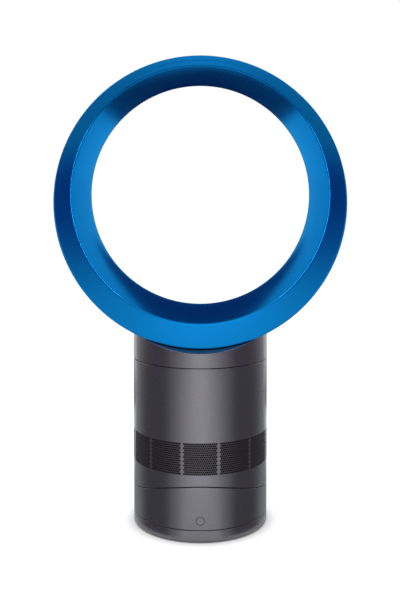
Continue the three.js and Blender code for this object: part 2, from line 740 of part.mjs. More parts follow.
// Bayonet lugs between the casing and the collar's spigot.
const bayonetLugs = (r0, r1, z0, z1) =>
  LUG_ANGLES.map((angle) =>
    arcPlate(r0, r1, angle - LUG_SPAN / 2, angle + LUG_SPAN / 2, z0, z1, 8),
  );

function bodyCase() {
  const shell = turned(
    [
      [BODY_R, TILT_SEAM_Z - 5],
      [BODY_R, CASE_TOP_Z - EDGE],
      [BODY_R - EDGE, CASE_TOP_Z],
      [INNER_R, CASE_TOP_Z],
      [INNER_R, TILT_SEAM_Z - 5],
    ],
    ROUND,
  ).intersect(tiltDrum(RUNNER_R, -BODY_R - 1, BODY_R + 1));
  const lugs = bayonetLugs(SPIGOT_R + 0.5, INNER_R + 0.5, CASE_TOP_Z - 5, CASE_TOP_Z - 2.4);
  return union(shell, ...lugs).subtract(union(...ringOf(PANELS, panelHoles())));
}

// The convex floor of the fan body, with two hooks that hold it down on the cradle.
function tiltRunner() {
  const hooks = [-HOOK_X, HOOK_X].flatMap((x) => [
    tiltArc(
      RUNNER_R - 1,
      HOOK_TOP_R + HOOK_PLATE,
      HOOK_HALF_ARC,
      x - HOOK_WEB / 2,
      x + HOOK_WEB / 2,
    ),
    tiltArc(
      HOOK_TOP_R,
      HOOK_TOP_R + HOOK_PLATE,
      HOOK_HALF_ARC,
      x - HOOK_FOOT / 2,
      x + HOOK_FOOT / 2,
    ),
  ]);
  return union(saddlePlate(RUNNER_R - WALL), ...hooks);
}

function silencerPlate() {
  const disc = tube(7, INSERT_R - 0.6, SILENCER_Z, SILENCER_TOP_Z, MEDIUM);
  const neck = drum(5, SILENCER_Z - 1, SILENCER_TOP_Z + 1, 6).translate([
    INSERT_R - 32,
    0,
    0,
  ]);
  return disc.subtract(union(...ringOf(6, neck)));
}

const SUPPORT_FIRST = 30; // angle of the first support, degrees
const supportSpot = (made) => made.translate([SUPPORT_CIRCLE_R, 0, 0]);

function foamDisc() {
  const low = SILENCER_TOP_Z + FIT;
  const disc = tube(10, SUPPORT_CIRCLE_R + 7.5, low, low + 5);
  const hole = supportSpot(drum(POST_FOOT_R + 0.6, low - 1, low + 6, 8));
  return disc.subtract(union(...ringOf(SUPPORTS, hole, SUPPORT_FIRST)));
}

place(fanBody, "body_case", bodyCase(), IRON);
place(fanBody, "tilt_runner", tiltRunner(), DARK);
place(fanBody, "silencer_plate", silencerPlate(), DARK);
place(fanBody, "silencer_foam", foamDisc(), FOAM);

// ---------------------------------------------------------------- fan unit

const HOUSING_Z = INLET_Z + FIT;
const HOUSING_NECK_R = INLET_R + 4.5;
const CONE_TOP_Z = IMPELLER_TOP_Z - 2;

function impellerHousing() {
  const boreNeckR = HOUSING_NECK_R - HOUSING_WALL;
  const shell = turned([
    [HOUSING_NECK_R, HOUSING_Z],
    [HOUSING_R, CONE_TOP_Z],
    [HOUSING_R, HOUSING_TOP_Z - 2],
    [HOUSING_R + 5, HOUSING_TOP_Z - 2],
    [HOUSING_R + 5, HOUSING_TOP_Z],
    [HOUSING_BORE_R, HOUSING_TOP_Z],
    [HOUSING_BORE_R, CONE_TOP_Z + 0.8],
    [boreNeckR, HOUSING_Z],
  ]);
  const inside = turned([
    [0, HOUSING_Z - 1],
    [boreNeckR, HOUSING_Z],
    [HOUSING_BORE_R, CONE_TOP_Z + 0.8],
    [HOUSING_BORE_R, HOUSING_TOP_Z + 1],
    [0, HOUSING_TOP_Z + 1],
  ]);
  const studHole = drum(STUD_R + 0.6, 0, ISOLATOR_TOP_Z + 3, 6);
  const pad = supportSpot(
    drum(ISOLATOR_R, ISOLATOR_TOP_Z + FIT, CONE_TOP_Z - 2, 8).subtract(studHole),
  ).subtract(inside);
  return union(shell, ...ringOf(SUPPORTS, pad, SUPPORT_FIRST));
}

const inletBell = () =>
  turned([
    [INLET_R - 2, INLET_Z],
    [INLET_R - 2, INLET_Z - 4],
    [INLET_R + 1.5, INLET_Z - 7.6],
    [INLET_R + 7.5, INLET_Z - 8.2],
    [INLET_R + 11.5, INLET_Z - 5],
    [INLET_R + 6.5, INLET_Z - 6],
    [INLET_R + 2, INLET_Z - 5],
    [INLET_R + 4.5, INLET_Z],
  ]);

// Stationary cone close around the blade tips, which turns out to the housing above them.
const impellerShroud = () =>
  turned(
    [
      [INLET_R, HOUSING_Z],
      [IMPELLER_R + TIP_GAP, IMPELLER_TOP_Z - 4],
      [HOUSING_BORE_R - 2, IMPELLER_TOP_Z + 4],
      [IMPELLER_R + TIP_GAP + 2, IMPELLER_TOP_Z - 5],
      [INLET_R + 1.7, HOUSING_Z],
    ],
    24,
  );

function impeller() {
  const hub = turned([
    [0, INLET_Z - 2],
    [8, INLET_Z - 0.5],
    [23, INLET_Z + 17],
    [HUB_R, IMPELLER_TOP_Z - 1.6],
    [HUB_R, IMPELLER_TOP_Z],
    [20, INLET_Z + 19],
    [8, INLET_Z + 12],
    [8, IMPELLER_TOP_Z - 1],
    [0, IMPELLER_TOP_Z - 1],
  ]);
  const blades = bladeRow({
    count: BLADES,
    hub: (s) => [
      mix(9.5, HUB_R - 0.8, s ** 0.9),
      mix(INLET_Z + 3.5, IMPELLER_TOP_Z - 0.9, s ** 0.85),
    ],
    tip: (s) => [
      mix(INLET_R - TIP_GAP, IMPELLER_R, s),
      mix(INLET_Z + 1, IMPELLER_TOP_Z - 4.2, s),
    ],
    wrap: (s) => -BLADE_WRAP * s,
    thickness: BLADE,
    steps: 3,
  });
  return union(hub, ...blades).subtract(
    drum(SHAFT_R + FIT, INLET_Z - 10, IMPELLER_TOP_Z + 1, 12),
  );
}

const BUCKET_SPLIT_Z = BUCKET_Z + 33.5;
const VANE_RISE = 27;

// The lower half of the motor bucket carries the diffuser's spiral vanes.
function bucketLower() {
  const cup = turned([
    [SHAFT_R + 2.5, BUCKET_Z],
    [HUB_R, BUCKET_Z],
    [BUCKET_R, BUCKET_Z + 5],
    [BUCKET_R, BUCKET_SPLIT_Z],
    [BUCKET_R - BUCKET_WALL, BUCKET_SPLIT_Z],
    [BUCKET_R - BUCKET_WALL, BUCKET_Z + 5.6],
    [HUB_R - 1, BUCKET_Z + BUCKET_WALL],
    [SHAFT_R + 2.5, BUCKET_Z + BUCKET_WALL],
  ]);
  const height = (s) => mix(BUCKET_Z + 5.5, BUCKET_Z + VANE_RISE, s);
  const vanes = bladeRow({
    count: VANES,
    hub: (s) => [BUCKET_R - 0.8, height(s)],
    tip: (s) => [HOUSING_BORE_R - 1.7, height(s)],
    wrap: (s) => -VANE_WRAP * (1 - (1 - s) ** 2),
    thickness: VANE,
    steps: 2,
  });
  return union(cup, ...vanes);
}

function bucketUpper() {
  const low = BUCKET_SPLIT_Z + FIT;
  return turned([
    [BUCKET_R, low],
    [BUCKET_R, low + 4],
    [BUCKET_R - 8, low + 14.5],
    [BUCKET_R - 22, low + 20],
    [0, low + 21.5],
    [0, low + 19.5],
    [BUCKET_R - 22.5, low + 18],
    [BUCKET_R - 9.4, low + 13],
    [BUCKET_R - BUCKET_WALL, low + 3.4],
    [BUCKET_R - BUCKET_WALL, low],
  ]);
}

const CAN_Z = BUCKET_Z + BUCKET_WALL + FIT;
const CAN_TOP_Z = CAN_Z + MOTOR_H;
const PLATE_END = 1.5; // thickness of the motor's end walls
const STATOR_Z = CAN_Z + 7;
const STATOR_H = 13;
const STATOR_R = MOTOR_R - PLATE_END - FIT;
const MAGNET_R = 12.8;

// A round end wall with a bearing pocket in its middle and a rim of its own. up is 1 or -1.
function motorEnd(z, up, rim) {
  const h = (height) => z + up * height;
  return turned(
    [
      [SHAFT_R + 0.8, h(0)],
      [MOTOR_R, h(0)],
      [MOTOR_R, h(rim)],
      [MOTOR_R - PLATE_END, h(rim)],
      [MOTOR_R - PLATE_END, h(PLATE_END)],
      [BEARING_R + 2, h(PLATE_END)],
      [BEARING_R + 2, h(2 + BEARING_H)],
      [BEARING_R + FIT, h(2 + BEARING_H)],
      [BEARING_R + FIT, h(PLATE_END)],
      [SHAFT_R + 0.8, h(PLATE_END)],
    ],
    FEW,
  );
}

function stator() {
  const ring = tube(STATOR_R - 3, STATOR_R, STATOR_Z, STATOR_Z + STATOR_H, FEW);
  const tooth = block(13, STATOR_R - 1.5, -3, 3, STATOR_Z, STATOR_Z + STATOR_H);
  return union(ring, ...ringOf(STATOR_POLES, tooth)).subtract(
    drum(MAGNET_R + 0.6, STATOR_Z - 1, STATOR_Z + STATOR_H + 1, FEW),
  );
}

const bearing = (z) => tube(SHAFT_R + FIT, BEARING_R, z, z + BEARING_H);

const supportPost = () =>
  union(
    drum(POST_FOOT_R, SILENCER_TOP_Z + FIT, ISOLATOR_Z - FIT, 6),
    drum(STUD_R, ISOLATOR_Z - 1, ISOLATOR_TOP_Z + 2, 6),
  );

const housingSeal = () =>
  turned([
    [HOUSING_R + FIT, CONE_TOP_Z + 1],
    [HOUSING_R + 1.6, CONE_TOP_Z],
    [INSERT_R, CONE_TOP_Z - 2.4],
    [INSERT_R, CONE_TOP_Z - 1],
    [HOUSING_R + 2.2, CONE_TOP_Z + 2.5],
    [HOUSING_R + FIT, CONE_TOP_Z + 6],
  ]);

place(fanBody, "impeller_housing", impellerHousing(), DARK);
place(fanBody, "inlet_bell", inletBell(), DARK);
place(fanBody, "impeller_shroud", impellerShroud(), DARK);
place(fanBody, "housing_seal", housingSeal(), RUBBER);
place(fanBody, "motor_bucket_lower", bucketLower(), DARK);
place(fanBody, "motor_bucket_upper", bucketUpper(), DARK);
place(
  fanBody,
  "bucket_foam",
  tube(12, BUCKET_R - 8, BUCKET_SPLIT_Z + 2.6, BUCKET_SPLIT_Z + 8.6),
  FOAM,
);
place(fanBody, "motor_can", motorEnd(CAN_Z, 1, MOTOR_H - PLATE_END - FIT), STEEL);
place(fanBody, "motor_end_cap", motorEnd(CAN_TOP_Z, -1, PLATE_END + FIT), STEEL);
place(fanBody, "motor_stator", stator(), COPPER);
place(fanBody, "shaft_bearing_lower", bearing(CAN_Z + PLATE_END + FIT), STEEL);
place(fanBody, "shaft_bearing_upper", bearing(CAN_TOP_Z - PLATE_END - FIT - BEARING_H), STEEL);
for (let i = 0; i < SUPPORTS; i += 1) {
  const angle = SUPPORT_FIRST + (360 / SUPPORTS) * i;
  const isolator = supportSpot(tube(STUD_R + 0.5, ISOLATOR_R, ISOLATOR_Z, ISOLATOR_TOP_Z, 8));
  place(fanBody, `support_post_${i + 1}`, supportSpot(supportPost()), DARK, [0, 0, 0], angle);
  place(fanBody, `support_isolator_${i + 1}`, isolator, RUBBER, [0, 0, 0], angle);
}
place(spinner, "impeller", impeller(), NATURAL);
place(spinner, "motor_shaft", drum(SHAFT_R, INLET_Z - 7, CAN_TOP_Z - 0.4, 10), STEEL);
place(
  spinner,
  "rotor_magnet",
  tube(SHAFT_R + FIT, MAGNET_R - 0.2, STATOR_Z + 1, STATOR_Z + STATOR_H - 1, FEW),
  DARK,
);
place(
  spinner,
  "impeller_nut",
  drum(5, INLET_Z - 5.6, INLET_Z - 2.4, 6).subtract(
    drum(SHAFT_R + FIT, INLET_Z - 7, INLET_Z),
  ),
  STEEL,
);

// ---------------------------------------------------------------- neck

const PORT_HALF_WIDTH = SPIGOT_BORE_R - 20;
const PORT_FRONT_Y = SHELL_SEAM_Y + NOZZLE_SPIGOT + 4;
const PORT_BACK_Y = RING_BACK_Y - BACK_BEND - 3;

// The oval air port through the collar's roof and the ring's wall.
function port(z0, z1) {
  const shape = new THREE.Shape();
  shape.absellipse(
    0,
    (PORT_FRONT_Y + PORT_BACK_Y) / 2,
    PORT_HALF_WIDTH,
    (PORT_BACK_Y - PORT_FRONT_Y) / 2,
    0,
    2 * Math.PI,
    false,
    0,
  );
  return extruded(shape, z0, z1, 12);
}

function nozzleCollar() {
  const top = RING_Z - Math.sqrt(SADDLE_R ** 2 - BODY_R ** 2) + 2;
  const outside = turned(
    [
      [0, COLLAR_Z],
      [BODY_R - EDGE, COLLAR_Z],
      [BODY_R, COLLAR_Z + EDGE],
      [BODY_R, top],
      [0, top],
    ],
    ROUND,
  ).subtract(ringDrum(SADDLE_R));
  const hollow = drum(INNER_R, COLLAR_Z - 1, top, ROUND).subtract(ringDrum(SADDLE_R + WALL));
  const spigot = turned([
    [SPIGOT_BORE_R, SPIGOT_Z],
    [SPIGOT_R, SPIGOT_Z],
    [SPIGOT_R, COLLAR_Z],
    [INNER_R + 1.5, COLLAR_Z],
    [INNER_R + 1.5, COLLAR_Z + WALL],
    [SPIGOT_BORE_R, COLLAR_Z + WALL],
  ]);
  const lugs = bayonetLugs(
    SPIGOT_R - 0.5,
    INNER_R - 0.4,
    CASE_TOP_Z - 8.4,
    CASE_TOP_Z - 5.4,
  );
  return union(
    outside.subtract(hollow).subtract(port(COLLAR_Z - 1, top)),
    spigot,
    ...lugs,
  );
}

const neckSeal = () =>
  turned([
    [HOUSING_R + 1, HOUSING_TOP_Z + FIT],
    [SPIGOT_R - 0.8, HOUSING_TOP_Z + FIT],
    [SPIGOT_R - 2.6, HOUSING_TOP_Z + 3.6],
    [SPIGOT_R - 0.8, SPIGOT_Z - FIT],
    [SPIGOT_R - 3, SPIGOT_Z - FIT],
    [HOUSING_R + 1, HOUSING_TOP_Z + 4.6],
  ]);

place(fanBody, "nozzle_collar", nozzleCollar(), IRON);
place(fanBody, "neck_seal", neckSeal(), RUBBER);

// ---------------------------------------------------------------- nozzle shells

// A revolve about the ring's axis whose stations [radius, y, lift] are circles with centres of
// their own: lift is how far each circle's centre lies above the outer wall's axis.
function eccentricRing(stations) {
  const outline = doubleArea(stations) > 0 ? [...stations] : [...stations].reverse();
  const closed = [...outline, outline[0]];
  const profile = closed.map(([r, y]) => new THREE.Vector2(r, y));
  const geometry = new THREE.LatheGeometry(profile, RING_FACETS);
  const position = geometry.getAttribute("position");
  for (let i = 0; i < position.count; i += 1) {
    position.setZ(i, position.getZ(i) + closed[i % closed.length][2]);
  }
  return solid(geometry);
}

// Front shell: rim, front bevel, crest, diffuser, throat, and the round nose inside the slot.
function frontShell() {
  const up = BORE_LIFT;
  const spigotR = RING_R - SHELL - FIT;
  const waist = [mix(CREST_R, THROAT_R, 0.6), mix(CREST_Y, THROAT_Y, 0.5)];
  return eccentricRing([
    [RING_R, SHELL_SEAM_Y, 0],
    [RING_R, RING_FRONT_Y + RIM, 0],
    [RING_R - RIM, RING_FRONT_Y, 0],
    [CREST_R, CREST_Y, up],
    [...waist, up],
    [THROAT_R, THROAT_Y, up],
    [COANDA_R, SLOT_Y, up],
    [COANDA_R + 1.4, SLOT_Y + 5.4, up],
    [COANDA_R + 5, SLOT_Y + 7.4, up],
    [COANDA_R + SHELL, SLOT_Y - 1, up],
    [THROAT_R + SHELL, THROAT_Y, up],
    [waist[0] + SHELL, waist[1], up],
    [CREST_R + SHELL, CREST_Y + 1.8, up],
    [spigotR - SHELL, RING_FRONT_Y + SHELL + 1.2, 0],
    [spigotR - SHELL, SHELL_SEAM_Y + NOZZLE_SPIGOT, 0],
    [spigotR, SHELL_SEAM_Y + NOZZLE_SPIGOT, 0],
    [spigotR, SHELL_SEAM_Y, 0],
  ]);
}

// Back shell: the outer wall, the round back, and the lip that turns forwards inside the bore.
function backShell() {
  const up = BORE_LIFT;
  const bend = RING_BACK_Y - BACK_BEND;
  const wall = eccentricRing([
    [RING_R, SHELL_SEAM_Y + FIT, 0],
    [RING_R, bend, 0],
    [RING_R - 2, RING_BACK_Y - 8, 0],
    [RING_R - 8, RING_BACK_Y - 1.6, 0.3 * up],
    [LIP_R + 11, RING_BACK_Y, 0.7 * up],
    [LIP_R + 2, RING_BACK_Y - 4, up],
    [LIP_R, SLOT_Y + 4, up],
    [LIP_R, SLOT_Y, up],
    [LIP_R + LIP, SLOT_Y, up],
    [LIP_R + 4, RING_BACK_Y - 5.4, up],
    [LIP_R + 11, RING_BACK_Y - SHELL, 0.7 * up],
    [RING_R - 9.4, RING_BACK_Y - 3.8, 0.3 * up],
    [RING_R - 4.2, RING_BACK_Y - 9, 0],
    [RING_R - SHELL, bend, 0],
    [RING_R - SHELL, SHELL_SEAM_Y + FIT, 0],
  ]);
  return wall.subtract(port(-RING_R - 2, -RING_R + BAND));
}

place(nozzle, "nozzle_front_shell", frontShell(), BLUE);
place(nozzle, "nozzle_back_shell", backShell(), BLUE);

export default fan;
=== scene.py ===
# %% [markdown]
# # A bladeless desk fan
# This lesson dresses a finished engineering model of a bladeless fan: an eccentric blue ring on a
# round grey pedestal. The engineering model is faceted and sits in the frame that is loaded here.
# The pieces that show are modelled again, smooth and with their fine detail, exactly where the
# engineering model has them, and the hidden pieces keep their shape and get a finish each.

# %% Load the frame
import json
import math

import bmesh
import bpy
from mathutils import Matrix, Vector


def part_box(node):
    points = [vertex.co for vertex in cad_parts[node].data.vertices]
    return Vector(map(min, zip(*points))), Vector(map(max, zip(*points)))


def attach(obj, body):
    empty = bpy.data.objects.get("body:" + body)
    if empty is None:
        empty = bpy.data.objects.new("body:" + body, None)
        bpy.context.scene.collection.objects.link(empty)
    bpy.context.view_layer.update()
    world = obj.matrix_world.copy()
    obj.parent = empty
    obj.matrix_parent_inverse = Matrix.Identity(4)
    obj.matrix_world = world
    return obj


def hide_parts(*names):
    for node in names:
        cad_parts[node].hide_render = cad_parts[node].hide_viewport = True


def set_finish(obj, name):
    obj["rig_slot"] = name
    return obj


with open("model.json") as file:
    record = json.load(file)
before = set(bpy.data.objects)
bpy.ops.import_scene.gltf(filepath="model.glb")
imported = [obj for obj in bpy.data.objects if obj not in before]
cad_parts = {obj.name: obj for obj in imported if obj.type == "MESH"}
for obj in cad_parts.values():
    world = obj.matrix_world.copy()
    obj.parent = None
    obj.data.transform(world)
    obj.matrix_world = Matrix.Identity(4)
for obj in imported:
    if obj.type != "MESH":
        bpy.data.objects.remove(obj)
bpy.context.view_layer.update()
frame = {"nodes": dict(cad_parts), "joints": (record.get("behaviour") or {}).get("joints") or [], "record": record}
bpy.ops.object.select_all(action="DESELECT")
MM = 0.001

# %% [markdown]
# ## Sizes taken from the frame
# Nothing is fitted by eye: radii, seams and the two axes are read from the engineering model, so a
# new version of it carries these pieces along. The ring's outer wall and its bore are circles with
# different centres: the bore lies higher, which makes the ring's lower half look heavier.

# %% Read the main sizes
ring_low, ring_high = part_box("nozzle_back_shell")
front_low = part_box("nozzle_front_shell")[0]
case_low, case_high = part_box("body_case")
lower_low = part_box("lower_body_shell")[0]
collar_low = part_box("nozzle_collar")[0]
foot_low, foot_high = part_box("foot_shell")
button_low, button_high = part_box("power_button")
joint_at = {joint["name"]: Vector(joint.get("pos_m", (0, 0, 0))) for joint in frame["joints"]}

RING_R = ring_high.x
RING_Z = (ring_low.z + ring_high.z) / 2
FRONT_Y = front_low.y
BACK_Y = ring_high.y
BODY_R = case_high.x
TILT_Z = joint_at["tilt"].z
RUNNER_R = TILT_Z - case_low.z
SEAM = 0.6 * MM
CRADLE_R = RUNNER_R + SEAM
CASE_TOP = case_high.z
COLLAR_Z = CASE_TOP + SEAM
LOWER_Z = lower_low.z
FOOT_TOP = LOWER_Z - SEAM
FOOT_Z = foot_low.z
BUTTON_Z = (button_low.z + button_high.z) / 2
WALL = 2.5 * MM
FIT = 0.3 * MM
EDGE = 0.5 * MM
print(f"ring radius {RING_R / MM:.1f} mm, pedestal radius {BODY_R / MM:.1f} mm")

# %% [markdown]
# ## The camera
# The photograph looks at the fan from straight ahead, a little above the middle of the ring. The
# seams show it: they are flat rings that look like wide, shallow arcs, deeper the lower they lie.
# The picture was framed by shifting the view down rather than by tilting the camera, so the
# pedestal's sides stay upright. A lens shift does the same here.

# %% Camera
CAMERA_PLACE = (0, -0.9444, 0.3589)
CAMERA_DIP = 2.32
camera_data = bpy.data.cameras.new("camera")
camera = bpy.data.objects.new("camera", camera_data)
bpy.context.scene.collection.objects.link(camera)
camera.location = CAMERA_PLACE
camera.rotation_euler = (math.radians(90 - CAMERA_DIP), 0, 0)
camera_data.lens = 51.81
camera_data.shift_x = -0.0005
camera_data.shift_y = -0.1192
bpy.context.scene.camera = camera
print(f"the camera stands {-CAMERA_PLACE[1]:.2f} m in front of the fan")

# %% [markdown]
# ## Helpers for turned shells
# Every casing of the fan is a turned shell. By hand one would add a circle, extrude it, scale the
# new loop, move it, and so on round the section of the wall, and bridge the last loop to the first.
# The helpers do just that. A section is a list of stations, and an arc adds the stations of a
# rounded corner, so that no edge is knife sharp and each one catches a line of light.

# %% Selecting and finishing
SEGMENTS = 192
SMOOTH_ANGLE = math.radians(32)
CORNER_STEPS = 4
DOUBLE = 0.002 * MM


def only(piece):
    """Makes a piece the only selected and active object."""
    bpy.ops.object.select_all(action="DESELECT")
    piece.select_set(True)
    bpy.context.view_layer.objects.active = piece


def edit_all():
    """Opens the active object for editing with all its vertices selected."""
    bpy.ops.object.mode_set(mode="EDIT")
    bpy.ops.mesh.select_mode(type="VERT")
    bpy.ops.mesh.select_all(action="SELECT")


def pick_verts(wanted):
    """Selects in edit mode the vertices, and the edges between them, that wanted() accepts."""
    mesh = bmesh.from_edit_mesh(bpy.context.edit_object.data)
    bpy.ops.mesh.select_all(action="DESELECT")
    for vert in mesh.verts:
        vert.select = wanted(vert.co)
    mesh.select_flush(True)
    bmesh.update_edit_mesh(bpy.context.edit_object.data)


def pick_edges(wanted):
    """Selects in edit mode the edges that wanted() accepts."""
    bpy.ops.mesh.select_all(action="DESELECT")
    bpy.ops.mesh.select_mode(type="EDGE")
    mesh = bmesh.from_edit_mesh(bpy.context.edit_object.data)
    for edge in mesh.edges:
        if wanted(edge):
            edge.select_set(True)
    bmesh.update_edit_mesh(bpy.context.edit_object.data)


def finished(piece):
    """Turns the faces outwards and shades them smooth wherever they meet at less than an angle."""
    only(piece)
    edit_all()
    bpy.ops.mesh.remove_doubles(threshold=DOUBLE)
    bpy.ops.mesh.normals_make_consistent(inside=False)
    bpy.ops.object.mode_set(mode="OBJECT")
    bpy.ops.object.shade_smooth_by_angle(angle=SMOOTH_ANGLE)
    print(f"{piece.name}: {len(piece.data.polygons)} faces")
    return piece


# %% Stations of a section
def level(height, by=0.0):
    """A height as a function of place, raised by a little. The height may be a function itself."""
    if callable(height):
        return lambda x, y: height(x, y) + by
    return lambda x, y: height + by


def arc(radius, height, size, start, end, steps=CORNER_STEPS):
    """Stations round a corner whose centre is at (radius, height); angles in degrees."""
    made = []
    for step in range(steps + 1):
        angle = math.radians(start + (end - start) * step / steps)
        made.append((radius + size * math.cos(angle), level(height, size * math.sin(angle))))
    return made


def raise_selected(piece, height):
    """Puts the selected vertices at a height, which may be a function of place."""
    place_at = level(height)
    mesh = bmesh.from_edit_mesh(piece.data)
    for vert in mesh.verts:
        if vert.select:
            vert.co.z = place_at(vert.co.x, vert.co.y)
    bmesh.update_edit_mesh(piece.data)


# %% A shell turned about the upright axis
def casing(name, stations):
    """Extrudes a circle through (radius, height) stations and bridges it to its start."""
    radius_now = stations[0][0]
    bpy.ops.mesh.primitive_circle_add(vertices=SEGMENTS, radius=radius_now, fill_type="NOTHING")
    piece = bpy.context.active_object
    piece.name = name
    edit_all()
    for step, (radius, height) in enumerate(stations):
        if step:
            bpy.ops.mesh.extrude_edges_indiv()
            grow = radius / radius_now
            bpy.ops.transform.resize(value=(grow, grow, 1), center_override=(0, 0, 0))
        radius_now = radius
        raise_selected(piece, height)
    pick_edges(lambda edge: edge.is_boundary)
    bpy.ops.mesh.bridge_edge_loops()
    bpy.ops.object.mode_set(mode="OBJECT")
    return piece


# %% [markdown]
# ## The nozzle ring
# The ring is two shells snapped together: the front one has the rim, the wide front bevel and the
# long wing inside the bore, and the back one wraps round behind and ends in a thin lip. Between lip
# and wing runs the slot that blows the air. The bore narrows from the crest to a throat and opens
# again behind it, where the slot lies, so the slot can't be seen from the front. Spinning one
# section about one axis can't make the ring, because the bore's centre lies higher than the outer
# wall's. So each station carries a lift as well, and the loop is moved up by the difference after
# it is scaled.

# %% Sizes of the ring
BORE_LIFT = 8.2 * MM
SHELL = 2.2 * MM
LIP = 1.1 * MM
RIM = 1.5 * MM
CREST_ROUND = 1.4 * MM
CREST_R = RING_R - 17.5 * MM
CREST_Y = FRONT_Y + 7.5 * MM
THROAT_R = CREST_R - 13.6 * MM
LIP_R = THROAT_R + 1.6 * MM
SLOT_Y = BACK_Y - 17 * MM
THROAT_Y = SLOT_Y - 12 * MM
WING_R = LIP_R + LIP + 1.3 * MM
SHELL_SEAM_Y = FRONT_Y + 3.4 * MM
SPIGOT = 8 * MM
BEND_Y = BACK_Y - 18 * MM
print(f"the bore narrows from {CREST_R / MM:.1f} to {THROAT_R / MM:.1f} mm radius")


# %% An upright circle, and an eccentric ring that starts from one
UPRIGHT = (math.pi / 2, 0, 0)


def settle():
    """Bakes place, turn and size of the active object into its mesh."""
    bpy.ops.object.transform_apply(location=True, rotation=True, scale=True)


def upright_circle(name, vertices, radius, place, fill="NOTHING"):
    """A circle that faces forwards, as a new piece."""
    bpy.ops.mesh.primitive_circle_add(
        vertices=vertices, radius=radius, fill_type=fill, location=place, rotation=UPRIGHT
    )
    piece = bpy.context.active_object
    piece.name = name
    settle()
    return piece


def ring_loft(name, stations):
    """Extrudes an upright circle through (radius, depth, lift) stations and closes the section."""
    radius_now, y_now, lift_now = stations[0]
    piece = upright_circle(name, SEGMENTS, radius_now, (0, y_now, RING_Z + lift_now))
    edit_all()
    for radius, y, lift in stations[1:]:
        bpy.ops.mesh.extrude_edges_indiv()
        grow = radius / radius_now
        centre = (0, y_now, RING_Z + lift_now)
        bpy.ops.transform.resize(value=(grow, 1, grow), center_override=centre)
        bpy.ops.transform.translate(value=(0, y - y_now, lift - lift_now))
        radius_now, y_now, lift_now = radius, y, lift
    pick_edges(lambda edge: edge.is_boundary)
    bpy.ops.mesh.bridge_edge_loops()
    bpy.ops.object.mode_set(mode="OBJECT")
    return piece


# %% Curved and rounded sections
GUARD_SHARE = 0.35


def bezier(start, pull, end, steps):
    """Points of a quadratic curve between two stations, without its first point."""
    points = []
    for step in range(1, steps + 1):
        t = step / steps
        shares = ((1 - t) ** 2, 2 * t * (1 - t), t**2)
        weighted = list(zip(shares, (start, pull, end)))
        points.append(tuple(sum(share * point[i] for share, point in weighted) for i in range(3)))
    return points


def rounded(corner, before, after, size):
    """Stations that round a corner, with one more on each side that keeps the flats flat."""
    here, back, ahead = Vector(corner), Vector(before), Vector(after)
    enter = here + (back - here).normalized() * size
    leave = here + (ahead - here).normalized() * size
    guard = GUARD_SHARE * size
    first = enter + (back - here).normalized() * guard
    last = leave + (ahead - here).normalized() * guard
    return [tuple(first), tuple(enter), *bezier(enter, here, leave, CORNER_STEPS), tuple(last)]


# %% Front shell of the nozzle
WAIST_SHARE = 0.6
CURL_IN = 0.6 * MM
CURL_DEPTH = 6 * MM
WING_EASE = 0.4 * MM
WING_FLARE = 5 * MM
WING_TAIL = 7.4 * MM
BORE_STEPS = 14
WING_STEPS = 6


def front_shell():
    """Rim, front bevel, crest, flaring bore, throat and wing, and back along the inside."""
    up = BORE_LIFT
    spigot_r = RING_R - SHELL - FIT
    seam_start = (RING_R, SHELL_SEAM_Y, 0)
    rim = (RING_R, FRONT_Y, 0)
    crest = (CREST_R, CREST_Y, up)
    throat = (THROAT_R, THROAT_Y, up)
    nose = (WING_R, SLOT_Y, up)
    waist = (CREST_R + WAIST_SHARE * (THROAT_R - CREST_R), (CREST_Y + THROAT_Y) / 2)
    pull = (2 * waist[0] - (CREST_R + THROAT_R) / 2, waist[1], up)
    curl = (THROAT_R - CURL_IN, THROAT_Y + CURL_DEPTH, up)
    nose_end = (WING_R + WING_FLARE, SLOT_Y + WING_TAIL, up)
    stations = [seam_start]
    stations += rounded(rim, seam_start, crest, RIM)
    stations += rounded(crest, rim, pull, CREST_ROUND)
    stations += bezier(stations[-1], pull, throat, BORE_STEPS)
    stations += bezier(throat, curl, nose, WING_STEPS)
    tail_pull = (WING_R + WING_EASE, nose_end[1], up)
    stations += bezier(nose, tail_pull, nose_end, WING_STEPS)
    stations += [
        (WING_R + SHELL, SLOT_Y - 1 * MM, up),
        (THROAT_R + SHELL, THROAT_Y, up),
        (waist[0] + SHELL, waist[1], up),
        (CREST_R + SHELL, CREST_Y + 1.8 * MM, up),
        (spigot_r - SHELL, FRONT_Y + SHELL + 1.2 * MM, 0),
        (spigot_r - SHELL, SHELL_SEAM_Y + SPIGOT, 0),
        (spigot_r, SHELL_SEAM_Y + SPIGOT, 0),
        (spigot_r, SHELL_SEAM_Y, 0),
    ]
    return finished(ring_loft("ring_front", stations))


ring_front = front_shell()
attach(ring_front, "fan_body")
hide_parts("nozzle_front_shell")
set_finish(ring_front, "blue_nozzle")

# %% [markdown]
# ## The back shell
# Its outside runs straight back, rolls over in two elliptic arcs and comes forwards again inside
# the bore, where it thins out to the lip. The inside of the wall follows the outside at the wall's
# thickness, so it is worked out from it, station by station, and not drawn a second time.


# %% Outside of the back shell
BACK_FLAT = 14.5 * MM
LIP_TURN = 11 * MM
LIP_FLAT = 4 * MM
BACK_STEPS = 12
LIP_STEPS = 10


